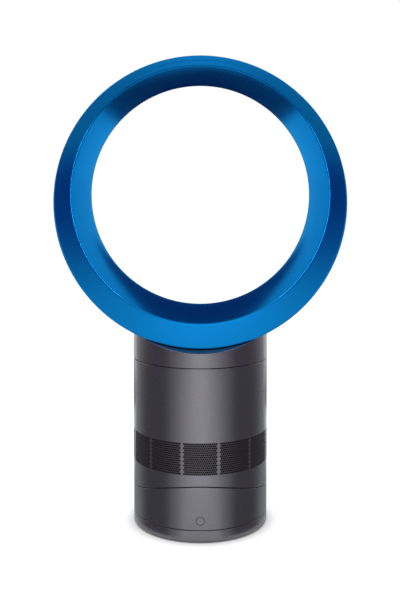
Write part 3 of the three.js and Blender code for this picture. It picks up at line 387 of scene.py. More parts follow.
def back_outline():
    """Stations (radius, depth) of the back shell's outside, from the seam to the lip."""
    flat_r = LIP_R + BACK_FLAT
    lip_turn_r = LIP_R + LIP_TURN
    lip_turn_y = SLOT_Y + LIP_FLAT
    points = [(RING_R, SHELL_SEAM_Y + FIT), (RING_R, 0.0), (RING_R, BEND_Y - 2 * MM)]
    for step in range(BACK_STEPS + 1):
        angle = math.radians(90 * step / BACK_STEPS)
        radius = flat_r + (RING_R - flat_r) * math.cos(angle)
        points.append((radius, BEND_Y + (BACK_Y - BEND_Y) * math.sin(angle)))
    for step in range(LIP_STEPS + 1):
        angle = math.radians(90 + 90 * step / LIP_STEPS)
        radius = lip_turn_r + (lip_turn_r - LIP_R) * math.cos(angle)
        points.append((radius, lip_turn_y + (BACK_Y - lip_turn_y) * math.sin(angle)))
    points.append((LIP_R, SLOT_Y))
    return points


def lift_at(radius):
    """How far the bore's centre lies above the outer wall's, blended over the rounded back."""
    return BORE_LIFT * (RING_R - radius) / (RING_R - LIP_R)


# %% Back shell of the nozzle
THINNING = 8


def back_shell():
    """The outside's stations and, offset by the wall's thickness, the inside's on the way back."""
    outside = back_outline()
    stations = [(radius, y, lift_at(radius)) for radius, y in outside]
    inside = []
    for i, (radius, y) in enumerate(outside):
        before = Vector(outside[max(i - 1, 0)])
        after = Vector(outside[min(i + 1, len(outside) - 1)])
        along = (after - before).normalized()
        share = max(0.0, (i - (len(outside) - 1 - THINNING)) / THINNING)
        wall = SHELL + (LIP - SHELL) * share
        inside.append((radius - along.y * wall, y + along.x * wall, lift_at(radius)))
    return finished(ring_loft("ring_back", stations + inside[::-1]))


ring_back = back_shell()
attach(ring_back, "fan_body")
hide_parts("nozzle_back_shell")
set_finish(ring_back, "blue_nozzle")

# %% [markdown]
# ## The air port
# The blower's air enters the ring through an oval hole in its underside, hidden by the collar.
# A scaled cylinder, cut away with a Boolean modifier, makes it in one go.


# %% Cut one piece with another
ROD_SEGMENTS = 64


def modify(piece, kind, **settings):
    """Adds a modifier with its settings and applies it at once."""
    only(piece)
    bpy.ops.object.modifier_add(type=kind)
    modifier = piece.modifiers[-1]
    for key, value in settings.items():
        setattr(modifier, key, value)
    bpy.ops.object.modifier_apply(modifier=modifier.name)


def cut(piece, cutter, operation="DIFFERENCE"):
    """Applies a Boolean modifier and removes the cutter."""
    modify(piece, "BOOLEAN", object=cutter, operation=operation, solver="EXACT")
    bpy.data.objects.remove(cutter)


def rod(radius, start, end):
    """A cylinder between two points on a line along Y or Z."""
    start, end = Vector(start), Vector(end)
    bpy.ops.mesh.primitive_cylinder_add(
        vertices=ROD_SEGMENTS,
        radius=radius,
        depth=(end - start).length,
        location=(start + end) / 2,
        rotation=UPRIGHT if abs(end.y - start.y) > abs(end.z - start.z) else (0, 0, 0),
    )
    settle()
    return bpy.context.active_object


def shift(piece, by):
    """Moves a piece for good."""
    only(piece)
    bpy.ops.transform.translate(value=by)
    settle()


# %% Port in the back shell
PORT_FRONT = SHELL_SEAM_Y + SPIGOT + 4 * MM
PORT_BACK = BEND_Y - 3 * MM
PORT_HALF_WIDTH = 46 * MM
PORT_LOW = ring_low.z - 5 * MM
PORT_HIGH = ring_low.z + 17 * MM
port_y = (PORT_FRONT + PORT_BACK) / 2
port_half_depth = (PORT_BACK - PORT_FRONT) / 2
port = rod(1.0, (0, 0, PORT_LOW), (0, 0, PORT_HIGH))
only(port)
bpy.ops.transform.resize(value=(PORT_HALF_WIDTH, port_half_depth, 1), center_override=(0, 0, 0))
shift(port, (0, port_y, 0))
cut(ring_back, port)
finished(ring_back)

# %% [markdown]
# ## The collar under the ring
# The collar is the short grey piece between pedestal and ring. Its top is a saddle: the ring lies
# in it, so the rim is low in front and behind and rises at the sides. Each loop of the saddle keeps
# its round outline and only its height follows the ring, so its station has a height function.

# %% Saddle heights
SADDLE_R = RING_R + FIT
INNER_R = BODY_R - WALL


def under_ring(radius):
    """Height of a cylinder round the ring's axis, as a function of place."""
    return lambda x, y: RING_Z - math.sqrt(radius**2 - x**2)


# %% Collar
RIM_ROUND = 0.9 * MM
SPIGOT_R = INNER_R - 2 * MM
SPIGOT_BORE_R = SPIGOT_R - WALL
SPIGOT_Z = collar_low.z
SEAT_LOOPS = 9


def collar():
    """Outer wall, saddle with the air's way through it, and the spigot that enters the casing."""
    saddle = under_ring(SADDLE_R)
    saddle_under = under_ring(SADDLE_R + WALL)
    port_r = port_half_depth
    top_in = BODY_R - RIM_ROUND
    seat = [top_in - (top_in - port_r) * i / SEAT_LOOPS for i in range(1, SEAT_LOOPS + 1)]
    stations = [(BODY_R - 2 * EDGE, COLLAR_Z)]
    stations += arc(BODY_R - EDGE, COLLAR_Z + EDGE, EDGE, -90, 0)
    stations += [(BODY_R, COLLAR_Z + 2 * EDGE), (BODY_R, level(saddle, -1.6 * RIM_ROUND))]
    stations += arc(top_in, level(saddle, -RIM_ROUND), RIM_ROUND, 0, 90, 5)
    stations += [(radius, saddle) for radius in seat]
    stations += [(port_r, saddle_under), (INNER_R - 1 * MM, saddle_under)]
    stations += [
        (INNER_R, level(saddle_under, -1 * MM)),
        (INNER_R, COLLAR_Z + WALL),
        (SPIGOT_BORE_R, COLLAR_Z + WALL),
        (SPIGOT_BORE_R, SPIGOT_Z),
        (SPIGOT_R, SPIGOT_Z),
        (SPIGOT_R, COLLAR_Z),
    ]
    return finished(casing("collar", stations))


neck_collar = collar()
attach(neck_collar, "fan_body")
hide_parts("nozzle_collar")
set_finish(neck_collar, "iron_plastic")

# %% [markdown]
# ## The perforated casing
# The pedestal's casing is pierced by twelve panels of fine holes, three thousand in all, in rows
# that are offset by half a pitch like bricks. A Boolean cut that many times would be slow and
# untidy. Instead one cell is modelled: a flat eight-sided tile whose middle is inset, rounded and
# deleted. Copies of it lie side by side as a flat sheet, because the middles of a tile's edges meet
# the corners of the next row's tiles, and the sheet is then bent round into a cylinder. The webs
# between the holes, the plain wall and the inside get a placeholder material each, so that they
# can still be told apart when the wall has been thickened.

# %% Sizes of the perforation
PANELS = 12
ROWS = 15
LONG_ROW = 17
HOLE_R = 0.84 * MM
HOLE_ANGLE = 1.66
PLAIN_BAND = 4 * MM
FIRST_INSET = 0.2 * MM
MEET = 0.01 * MM
GRILLE_LOW = 71.8 * MM
GRILLE_HIGH = 102.9 * MM
row_pitch = (GRILLE_HIGH - GRILLE_LOW) / (ROWS - 1)
hole_pitch = math.radians(HOLE_ANGLE) * BODY_R
panel_pitch = 2 * math.pi * BODY_R / PANELS
print(f"holes every {hole_pitch / MM:.2f} mm in rows every {row_pitch / MM:.2f} mm")
NET, OUTSIDE, INSIDE = (bpy.data.materials.new(name) for name in ("net", "outside", "inside"))


# %% One perforated tile
def tile():
    """A flat tile in the XZ plane with a round hole; its low left corner is at the origin."""
    bpy.ops.mesh.primitive_plane_add(size=1, rotation=UPRIGHT)
    piece = bpy.context.active_object
    bpy.ops.transform.resize(value=(hole_pitch, 1, row_pitch), center_override=(0, 0, 0))
    settle()
    edit_all()
    bpy.ops.mesh.subdivide(number_cuts=1)
    pick_verts(lambda place: place.length < 0.1 * HOLE_R)
    bpy.ops.mesh.dissolve_verts()
    bpy.ops.mesh.select_all(action="SELECT")
    bpy.ops.mesh.inset(thickness=FIRST_INSET)
    bpy.ops.transform.tosphere(value=1.0)
    inner = [v.co.length for v in bmesh.from_edit_mesh(piece.data).verts if v.select]
    grow = HOLE_R * len(inner) / sum(inner)
    bpy.ops.transform.resize(value=(grow, 1, grow), center_override=(0, 0, 0))
    bpy.ops.mesh.delete(type="FACE")
    bpy.ops.mesh.select_all(action="SELECT")
    bpy.ops.transform.translate(value=(hole_pitch / 2, 0, row_pitch / 2))
    bpy.ops.object.mode_set(mode="OBJECT")
    piece.data.materials.append(NET)
    return piece


# %% Repeating and joining
def repeat(piece, count, step):
    """Copies a piece in a row with an Array modifier that merges what meets."""
    modify(
        piece,
        "ARRAY",
        count=count,
        use_relative_offset=False,
        use_constant_offset=True,
        constant_offset_displace=step,
        use_merge_vertices=True,
        merge_threshold=MEET,
    )
    return piece


def joined(pieces):
    """Joins pieces into the first and merges the vertices that meet."""
    only(pieces[0])
    for piece in pieces:
        piece.select_set(True)
    bpy.ops.object.join()
    edit_all()
    bpy.ops.mesh.remove_doubles(threshold=MEET)
    bpy.ops.object.mode_set(mode="OBJECT")
    return pieces[0]


def plain_tile(width, x):
    """A tile without a hole, cut once across so that it meets the tiles beside it."""
    bpy.ops.mesh.primitive_plane_add(size=1, rotation=UPRIGHT)
    piece = bpy.context.active_object
    bpy.ops.transform.resize(value=(width, 1, row_pitch), center_override=(0, 0, 0))
    shift(piece, (x + width / 2, 0, row_pitch / 2))
    bpy.ops.object.mode_set(mode="EDIT")
    pick_edges(lambda edge: abs(edge.verts[0].co.z - edge.verts[1].co.z) > 0.5 * row_pitch)
    bpy.ops.mesh.subdivide(number_cuts=1)
    bpy.ops.object.mode_set(mode="OBJECT")
    piece.data.materials.append(OUTSIDE)
    return piece


# %% Two rows, then a panel, then the whole flat sheet
def perforated_sheet():
    """The whole grille as a flat sheet that is as long as the casing's girth."""
    long_width = LONG_ROW * hole_pitch
    strip = panel_pitch - long_width
    long_row = repeat(tile(), LONG_ROW, (hole_pitch, 0, 0))
    long_row = joined([long_row, plain_tile(strip, long_width)])
    short_row = repeat(tile(), LONG_ROW - 1, (hole_pitch, 0, 0))
    shift(short_row, (hole_pitch / 2, 0, 0))
    ends = [plain_tile(hole_pitch / 2, x) for x in (0, long_width - hole_pitch / 2)]
    short_row = joined([short_row, *ends, plain_tile(strip, long_width)])
    repeat(long_row, (ROWS + 1) // 2, (0, 0, 2 * row_pitch))
    repeat(short_row, ROWS // 2, (0, 0, 2 * row_pitch))
    shift(short_row, (0, 0, row_pitch))
    sheet = repeat(joined([long_row, short_row]), PANELS, (panel_pitch, 0, 0))
    middle = long_width / 2 + panel_pitch * (PANELS // 2)
    shift(sheet, (-middle, 0, GRILLE_LOW - row_pitch / 2))
    return sheet


flat_sheet = perforated_sheet()
print(f"perforated sheet: {len(flat_sheet.data.polygons)} faces")

# %% [markdown]
# ## From sheet to casing
# A Simple Deform modifier bends the sheet through a full turn, which makes its length the
# cylinder's girth. The open ends merge, the upper and lower rims are extruded to the neck and to
# the curved tilt joint, and a Solidify modifier gives the wall its thickness, holes included.


# %% Seam of the tilt joint
def tilt_curve(radius):
    """Height of a cylinder round the tilt axis, as a function of place."""
    return lambda x, y: TILT_Z - math.sqrt(radius**2 - y**2)


# %% Bend, extrude and thicken
def bent_round(sheet):
    """Bends the flat sheet into a cylinder about the upright axis."""
    modify(sheet, "SIMPLE_DEFORM", deform_method="BEND", deform_axis="Z", angle=2 * math.pi)
    places = [v.co for v in sheet.data.vertices]
    centre_y = (min(p.y for p in places) + max(p.y for p in places)) / 2
    centre_x = (min(p.x for p in places) + max(p.x for p in places)) / 2
    shift(sheet, (-centre_x, -centre_y, 0))
    return sheet


def extrude_rim(piece, at_height, heights):
    """Extrudes the open rim at a height through other heights, which may be functions."""
    near = 0.05 * MM

    def at_rim(edge):
        return edge.is_boundary and all(abs(v.co.z - at_height) < near for v in edge.verts)

    pick_edges(at_rim)
    for height in heights:
        bpy.ops.mesh.extrude_edges_indiv()
        raise_selected(piece, height)


def paint_plain(piece, bottom, top):
    """Gives the faces below and above the grille the casing's own material."""
    bpy.ops.mesh.select_mode(type="FACE")
    mesh = bmesh.from_edit_mesh(piece.data)
    for face in mesh.faces:
        height = face.calc_center_median().z
        face.select_set(height < bottom or height > top)
    bmesh.update_edit_mesh(piece.data)
    piece.active_material_index = piece.data.materials.find(OUTSIDE.name)
    bpy.ops.object.material_slot_assign()
    bpy.ops.mesh.select_mode(type="VERT")


def body_casing():
    """Closes the bent sheet, gives it its two rims and a wall."""
    piece = bent_round(flat_sheet)
    piece.name = "casing"
    edit_all()
    bpy.ops.mesh.remove_doubles(threshold=2 * MEET)
    top = GRILLE_HIGH + row_pitch / 2
    bottom = GRILLE_LOW - row_pitch / 2
    seam = tilt_curve(RUNNER_R)
    extrude_rim(piece, top, [top + PLAIN_BAND, CASE_TOP - 2 * EDGE, CASE_TOP])
    extrude_rim(piece, bottom, [level(seam, 4 * EDGE), seam])
    paint_plain(piece, bottom, top)
    bpy.ops.mesh.select_all(action="SELECT")
    bpy.ops.mesh.normals_make_consistent(inside=False)
    bpy.ops.object.mode_set(mode="OBJECT")
    piece.data.materials.append(INSIDE)
    modify(piece, "SOLIDIFY", thickness=WALL, offset=-1, material_offset=2, material_offset_rim=0)
    return piece


case = body_casing()


# %% Round the casing's two outer rims
def round_rims(piece, heights, size):
    """Bevels the outer edges that run along the given heights."""
    only(piece)
    bpy.ops.object.mode_set(mode="EDIT")
    near = 0.03 * MM

    def on_rim(vert, height):
        far = math.hypot(vert.co.x, vert.co.y)
        return far > BODY_R - near and abs(vert.co.z - height(vert.co.x, vert.co.y)) < near

    pick_edges(lambda edge: any(all(on_rim(v, level(h)) for v in edge.verts) for h in heights))
    bpy.ops.mesh.bevel(offset=size, segments=3, affect="EDGES")
    bpy.ops.object.mode_set(mode="OBJECT")


round_rims(case, [CASE_TOP, tilt_curve(RUNNER_R)], EDGE)
finished(case)
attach(case, "fan_body")
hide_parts("body_case")
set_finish(case, "iron_plastic")

# %% [markdown]
# ## The lower body and its button
# Below the curved joint the lower body carries the only control, a small round button. The hole for
# it has a guide behind the wall, so the button can't tilt when it is pressed off centre. The curved
# rim is one more height function, a hair lower than the casing's.

# %% Lower body shell
BUTTON_R = 4.2 * MM
GUIDE_END = -BODY_R + 7 * MM
GUIDE_WALL = 1.5 * MM


def lower_body():
    """The turned wall with a curved upper rim, and the guide and hole of the button."""
    seam = tilt_curve(CRADLE_R)
    stations = [(BODY_R - 2 * EDGE, LOWER_Z)]
    stations += arc(BODY_R - EDGE, LOWER_Z + EDGE, EDGE, -90, 0)
    stations += [
        (BODY_R, LOWER_Z + 2 * EDGE),
        (BODY_R, BUTTON_Z - 2 * BUTTON_R),
        (BODY_R, BUTTON_Z + 2 * BUTTON_R),
        (BODY_R, level(seam, -2 * EDGE)),
    ]
    stations += arc(BODY_R - EDGE, level(seam, -EDGE), EDGE, 0, 90)
    stations += [(BODY_R - 2 * EDGE, seam), (INNER_R, seam), (INNER_R, LOWER_Z)]
    piece = casing("lower_body", stations)
    finished(piece)
    past = 1 * MM
    guide = rod(BUTTON_R + GUIDE_WALL, (0, -BODY_R + past, BUTTON_Z), (0, GUIDE_END, BUTTON_Z))
    cut(piece, guide, "UNION")
    hole = rod(BUTTON_R + FIT, (0, -BODY_R - past, BUTTON_Z), (0, GUIDE_END + past, BUTTON_Z))
    cut(piece, hole)
    return finished(piece)


lower = lower_body()
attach(lower, "lower_body")
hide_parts("lower_body_shell")
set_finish(lower, "iron_plastic")


# %% Power button
FLANGE = 1.2 * MM
FLANGE_R = BUTTON_R + 1.3 * MM
STEM_R = 1.5 * MM


def shaped_rod(name, radius, steps, along_y):
    """A round peg along Y: extruded from a disc through (radius, y) steps, closed at both ends."""
    piece = upright_circle(name, ROD_SEGMENTS, radius, (0, along_y, BUTTON_Z), "NGON")
    bpy.ops.object.mode_set(mode="EDIT")
    bpy.ops.mesh.select_mode(type="FACE")
    bpy.ops.mesh.select_all(action="SELECT")
    radius_now, y_now = radius, along_y
    for radius_next, y_next in steps:
        bpy.ops.mesh.extrude_region_move(TRANSFORM_OT_translate={"value": (0, y_next - y_now, 0)})
        grow = radius_next / radius_now
        centre = (0, y_next, BUTTON_Z)
        bpy.ops.transform.resize(value=(grow, 1, grow), center_override=centre)
        radius_now, y_now = radius_next, y_next
    bpy.ops.object.mode_set(mode="OBJECT")
    return finished(piece)


def button():
    """A dished cap with a rounded edge, a flange that keeps it in, and a stem for the switch."""
    face_y = button_low.y
    back_y = button_high.y
    flange_y = GUIDE_END + FIT
    dish = [(0.62 * BUTTON_R, face_y + 0.28 * MM), (0.86 * BUTTON_R, face_y + 0.1 * MM)]
    edge = [(BUTTON_R - 0.3 * MM, face_y), (BUTTON_R - 0.08 * MM, face_y + 0.1 * MM)]
    steps = dish + edge + [
        (BUTTON_R, face_y + 0.35 * MM),
        (BUTTON_R, flange_y),
        (FLANGE_R, flange_y),
        (FLANGE_R, flange_y + FLANGE),
        (STEM_R, flange_y + FLANGE),
        (STEM_R, back_y),
    ]
    return shaped_rod("button", 0.3 * BUTTON_R, steps, face_y + 0.34 * MM)


power_button = button()
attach(power_button, "power_button")
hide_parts("power_button")
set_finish(power_button, "iron_plastic")

# %% [markdown]
# ## The foot
# The foot is a shallow dish that stays on the table while everything above swings. It has a post
# in the middle that the upper part turns on, a rib for the glide ring, and a hole at the back
# where the mains lead would enter. It is turned in one go as well: the post's section and the
# dish's section are one outline.

# %% Foot shell
FOOT_ROUND = 1.2 * MM
FLOOR_TOP = FOOT_Z + 2.3 * MM
glide_low, glide_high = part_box("glide_ring")
gland_low, gland_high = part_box("cord_gland")
clip_low, clip_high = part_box("spindle_clip")
POST_R = 12 * MM
POST_BORE_R = 8 * MM
GROOVE = 1.2 * MM
RIB = 3 * MM
AXIS_R = 1 * MM


def foot():
    """Dish, rib and hollow post in one outline, and the stepped hole for the gland."""
    rib_out = glide_high.x + FIT
    rib_in = rib_out - RIB
    rib_top = glide_low.z - FIT
    stations = [(AXIS_R, FOOT_Z), (BODY_R - 2 * FOOT_ROUND, FOOT_Z)]
    stations += arc(BODY_R - FOOT_ROUND, FOOT_Z + FOOT_ROUND, FOOT_ROUND, -90, 0, 6)
    stations += [(BODY_R, FOOT_Z + 2 * FOOT_ROUND), (BODY_R, FOOT_TOP - 2 * EDGE)]
    stations += arc(BODY_R - EDGE, FOOT_TOP - EDGE, EDGE, 0, 90)
    stations += [
        (BODY_R - 2 * EDGE, FOOT_TOP),
        (INNER_R, FOOT_TOP),
        (INNER_R, FLOOR_TOP),
        (rib_out, FLOOR_TOP),
        (rib_out, rib_top),
        (rib_in, rib_top),
        (rib_in, FLOOR_TOP),
        (POST_R, FLOOR_TOP),
        (POST_R, clip_low.z - FIT),
        (POST_R - GROOVE, clip_low.z - FIT),
        (POST_R - GROOVE, clip_high.z + FIT),
        (POST_R, clip_high.z + FIT),
        (POST_R, foot_high.z),
        (POST_BORE_R, foot_high.z),
        (POST_BORE_R, FLOOR_TOP),
        (AXIS_R, FLOOR_TOP),
    ]
    piece = casing("foot", stations)
    gland_r = (gland_high.x - gland_low.x) / 2
    gland_z = (gland_low.z + gland_high.z) / 2
    finished(piece)
    within = (0, rib_in - 1 * MM, gland_z)
    cut(piece, rod(gland_r + FIT, within, (0, INNER_R + 0.1 * MM, gland_z)))
    cut(piece, rod(gland_r - 0.7 * MM + FIT, within, (0, BODY_R + 1 * MM, gland_z)))
    return finished(piece)


foot_dish = foot()
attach(foot_dish, "foot")
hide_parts("foot_shell")
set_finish(foot_dish, "iron_plastic")

# %% [markdown]
# ## Finishes
# The blue ring and the grey casings are moulded plastic with fine metal flakes under a satin
# surface. The flakes could be drawn one by one, but they are far smaller than a pixel. A very fine
# noise that moves the colour a little and raises the surface by a hair does the same, and a
# coarser, weaker one moves the gloss, as the slight unevenness of a moulded wall does. All noise
# reads Object coordinates, so it stays on the piece from every side.


# %% Helpers for node trees
def add_node(tree, kind, operation=None, inputs=(), **plain):
    """Adds a node. inputs are (socket, value) pairs, and plain are the node's own properties."""
    node = tree.nodes.new(kind)
    if operation:
        node.operation = operation
    for key, value in plain.items():
        setattr(node, key, value)
    for socket, value in inputs:
        node.inputs[socket].default_value = value
    return node


def math_node(tree, operation, *operands, clamp=False):
    """Adds a Math node and returns its output. An operand is a socket to link or a number."""
    node = add_node(tree, "ShaderNodeMath", operation, use_clamp=clamp)
    for socket, operand in zip(node.inputs, operands):
        if isinstance(operand, (int, float)):
            socket.default_value = operand
        else:
            tree.links.new(operand, socket)
    return node.outputs[0]


def with_nodes(name):
    """A new material, its node tree and its shader."""
    material = bpy.data.materials.new(name)
    material.use_nodes = True
    return material, material.node_tree, material.node_tree.nodes["Principled BSDF"]


# %% A finish with grain
GLOSS_SPREAD = 0.04
RELIEF = 0.1 * MM
GRAIN_STOPS = (0.3, 0.7)
UNEVEN_SCALE = 40
WHITE = (1, 1, 1)


def finish(name, colour, rough, metal=0.0, tint=WHITE, grain=2500, grain_mix=0.12, bump=0.05):
    """A moulded or machined surface: fine grain in colour and height over uneven gloss."""
    material, tree, shader = with_nodes(name)
    links = tree.links
    shader.inputs["Metallic"].default_value = metal
    shader.inputs["Specular Tint"].default_value = (*tint, 1)
    where = add_node(tree, "ShaderNodeTexCoord")
    fine = add_node(tree, "ShaderNodeTexNoise", inputs=[("Scale", grain), ("Detail", 2)])
    soft = add_node(tree, "ShaderNodeTexNoise", inputs=[("Scale", UNEVEN_SCALE), ("Detail", 3)])
    for noise in (fine, soft):
        links.new(where.outputs["Object"], noise.inputs["Vector"])
    tone = add_node(tree, "ShaderNodeValToRGB")
    dark = [channel * (1 - grain_mix) for channel in colour]
    light = [min(1.0, channel * (1 + grain_mix)) for channel in colour]
    for stop, position, shade_of in zip(tone.color_ramp.elements, GRAIN_STOPS, (dark, light)):
        stop.position = position
        stop.color = (*shade_of, 1)
    links.new(fine.outputs["Fac"], tone.inputs["Fac"])
    links.new(tone.outputs["Color"], shader.inputs["Base Color"])
    limits = [("To Min", rough - GLOSS_SPREAD), ("To Max", rough + GLOSS_SPREAD)]
    gloss = add_node(tree, "ShaderNodeMapRange", inputs=limits)
    links.new(soft.outputs["Fac"], gloss.inputs["Value"])
    links.new(gloss.outputs["Result"], shader.inputs["Roughness"])
    relief = add_node(tree, "ShaderNodeBump", inputs=[("Strength", bump), ("Distance", RELIEF)])
    links.new(fine.outputs["Fac"], relief.inputs["Height"])
    links.new(relief.outputs["Normal"], shader.inputs["Normal"])
    return material


# %% [markdown]
# ## Which piece wears what
# The finishes are named after the record's material slots, so that each hidden piece finds its
# own. Two more are for parts of a piece, and both are painted shade. The webs of the perforated
# panels are painted darker than the casing round them, a painted shade for the dark insides of
# the holes. The seat in the collar, under the ring, is painted darker too, a painted shade from
# the ring above it, and is left matt, so that it mirrors the ring only faintly.

# %% The finishes of the fan
FINISHES = {
    "iron_plastic": finish("iron_grey", (0.215, 0.21, 0.23), 0.28, metal=0.92, bump=0.02),
    "blue_nozzle": finish(
        "flake_blue",
        (0.003, 0.17, 0.47),
        0.2,
        metal=0.95,
        tint=(0.1, 0.7, 1),
        grain_mix=0.05,
        bump=0.01,
    ),
    "black_rubber": finish("rubber", (0.012, 0.012, 0.013), 0.75, grain=900, bump=0.3),
    "natural_plastic": finish("natural_nylon", (0.62, 0.6, 0.55), 0.45, grain=700),
    "steel": finish("bright_steel", (0.5, 0.51, 0.52), 0.25, metal=1.0, grain=1500),
    "dark_plastic": finish("dark_plastic", (0.02, 0.021, 0.023), 0.5, grain=1200, bump=0.2),
    "foam": finish("foam", (0.03, 0.03, 0.032), 0.95, grain=500, grain_mix=0.5, bump=0.8),
    "circuit_board": finish("solder_mask", (0.01, 0.09, 0.03), 0.35, grain=300, grain_mix=0.3),
    "copper_windings": finish("enamelled_copper", (0.42, 0.18, 0.08), 0.35, metal=0.8, grain=800),
}
# The webs' grey is painted darker than the casing: painted shade for the dark insides of the holes.
NET_PAINTED_SHADE = finish("net_painted_shade", (0.105, 0.1, 0.11), 0.55, metal=0.9, bump=0.02)
# The seat's grey is painted dark: painted shade from the ring above it, with a matt gloss.
SEAT_PAINTED_SHADE = finish("seat_painted_shade", (0.08, 0.075, 0.08), 0.4, metal=0.9, bump=0.02)


def wear(piece, slot_name):
    """Puts one finish on a whole piece."""
    piece.data.materials.clear()
    piece.data.materials.append(FINISHES[slot_name])


for piece in (ring_front, ring_back, neck_collar, lower, power_button, foot_dish):
    wear(piece, piece["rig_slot"])
for part in frame["record"]["subparts"]:
    wear(frame["nodes"][part["node"]], part["material_slot"])
for placeholder, worn in (
    (OUTSIDE, FINISHES["iron_plastic"]),
    (INSIDE, FINISHES["dark_plastic"]),
    (NET, NET_PAINTED_SHADE),
):
    case.data.materials[case.data.materials.find(placeholder.name)] = worn
    bpy.data.materials.remove(placeholder)
# The faces of the seat, those that face up inside the rim, take the painted shade.
SEAT_SLOPE = 0.6
neck_collar.data.materials.append(SEAT_PAINTED_SHADE)
for face in neck_collar.data.polygons:
    within_rim = math.hypot(face.center.x, face.center.y) < BODY_R - RIM_ROUND
    if face.normal.z > SEAT_SLOPE and within_rim:
        face.material_index = 1
print(f"{len(FINISHES) + 2} finishes")

# %% [markdown]
# ## The studio
# The picture is a plain white cut-out. Painting the world white for all rays would also light every
# piece from all sides and wash out its form, so the world is white only for what the camera, the
# reflections and the see-through rays meet, and a softer light for the rest. The floor does the
# same, and its glow is held back where the foot stands close over it, which keeps a thin contact
# shadow. In reflections it also dims towards the foot, because there a real fan shades its table.


# %% White for the rays that look
def looked_at(tree, reflected=None):
    """1 for camera, glossy and transmission rays and 0 for others; glossy ones may get a share."""
    path = add_node(tree, "ShaderNodeLightPath")
    glossy = path.outputs["Is Glossy Ray"]
    if reflected is not None:
        glossy = math_node(tree, "MULTIPLY", glossy, reflected)
    seen = math_node(tree, "ADD", path.outputs["Is Camera Ray"], glossy)
    return math_node(tree, "ADD", seen, path.outputs["Is Transmission Ray"], clamp=True)


# %% World
FILL = 0.55
world = bpy.data.worlds.new("studio")
bpy.context.scene.world = world
world.use_nodes = True
sky = world.node_tree
sky.nodes.clear()
fill_light = add_node(sky, "ShaderNodeBackground", inputs=[("Strength", FILL)])
white = add_node(sky, "ShaderNodeBackground", inputs=[("Strength", 1.0)])
for background in (fill_light, white):
    background.inputs["Color"].default_value = (*WHITE, 1)
choose = add_node(sky, "ShaderNodeMixShader")
out = add_node(sky, "ShaderNodeOutputWorld")
sky.links.new(looked_at(sky), choose.inputs["Fac"])
sky.links.new(fill_light.outputs[0], choose.inputs[1])
sky.links.new(white.outputs[0], choose.inputs[2])
sky.links.new(choose.outputs[0], out.inputs["Surface"])
bpy.context.scene.view_settings.view_transform = "Standard"
print(f"world light {FILL}")

# %% Floor
FLOOR_SIZE = 8
FLOOR_GLOW = 0.6
FOOT_SHADE = 0.55
SHADE_REACH = 0.3
CONTACT_SHADOW = 12 * MM
bpy.ops.mesh.primitive_plane_add(size=FLOOR_SIZE, location=(0, 0, 0))
floor = bpy.context.active_object
floor.name = "floor"
paper, paper_tree, paper_shader = with_nodes("paper")
paper_shader.inputs["Base Color"].default_value = (0.9, 0.9, 0.9, 1)
paper_shader.inputs["Roughness"].default_value = 0.9
paper_shader.inputs["Specular IOR Level"].default_value = 0.0
paper_shader.inputs["Emission Color"].default_value = (*WHITE, 1)
floor_where = add_node(paper_tree, "ShaderNodeTexCoord")
reach = add_node(paper_tree, "ShaderNodeVectorMath", "LENGTH")
near_foot = [("From Min", BODY_R), ("From Max", SHADE_REACH), ("To Min", FOOT_SHADE)]
shaded_table = add_node(paper_tree, "ShaderNodeMapRange", inputs=near_foot)
paper_tree.links.new(floor_where.outputs["Object"], reach.inputs[0])
paper_tree.links.new(reach.outputs["Value"], shaded_table.inputs["Value"])
open_sky = add_node(paper_tree, "ShaderNodeAmbientOcclusion", inputs=[("Distance", CONTACT_SHADOW)])
floor_seen = looked_at(paper_tree, shaded_table.outputs["Result"])
glow_seen = math_node(paper_tree, "MULTIPLY", floor_seen, FLOOR_GLOW)
glow_left = math_node(paper_tree, "MULTIPLY", glow_seen, open_sky.outputs["AO"])
paper_tree.links.new(glow_left, paper_shader.inputs["Emission Strength"])
floor.data.materials.append(paper)

# %% [markdown]
# ## Dark cards
# Polished metal only looks like metal when it has something dark to reflect. A photographer puts
# black flags beside it, and here two curved cards stand at the sides, which only reflections see.
# Each runs from the foot over the floor and then up. The pedestal looks down into their flat part
# and shows it as upright dark stripes, and the ring looks at their upper part, which is dark blue.
# Two more cards behind darken the top and the bottom of the bore, with one between them at the
# level of the table.

# %% Dark cards at the sides
CARD_START = 14
CARD_END = 138
CARD_STEPS = 24
CARD_NEAR = (0, -0.08, 0.002)
CARD_FAR = (0, -1.0, 0.002)
CARD_KNEE = (0, -0.2, 0.1)
CARD_RISE = (0, -0.05, 1.3)


def for_reflections_only(card):
    """Hides a card from all rays but the glossy ones."""
    card.visible_camera = False
    card.visible_diffuse = False
    card.visible_transmission = False
    card.visible_shadow = False


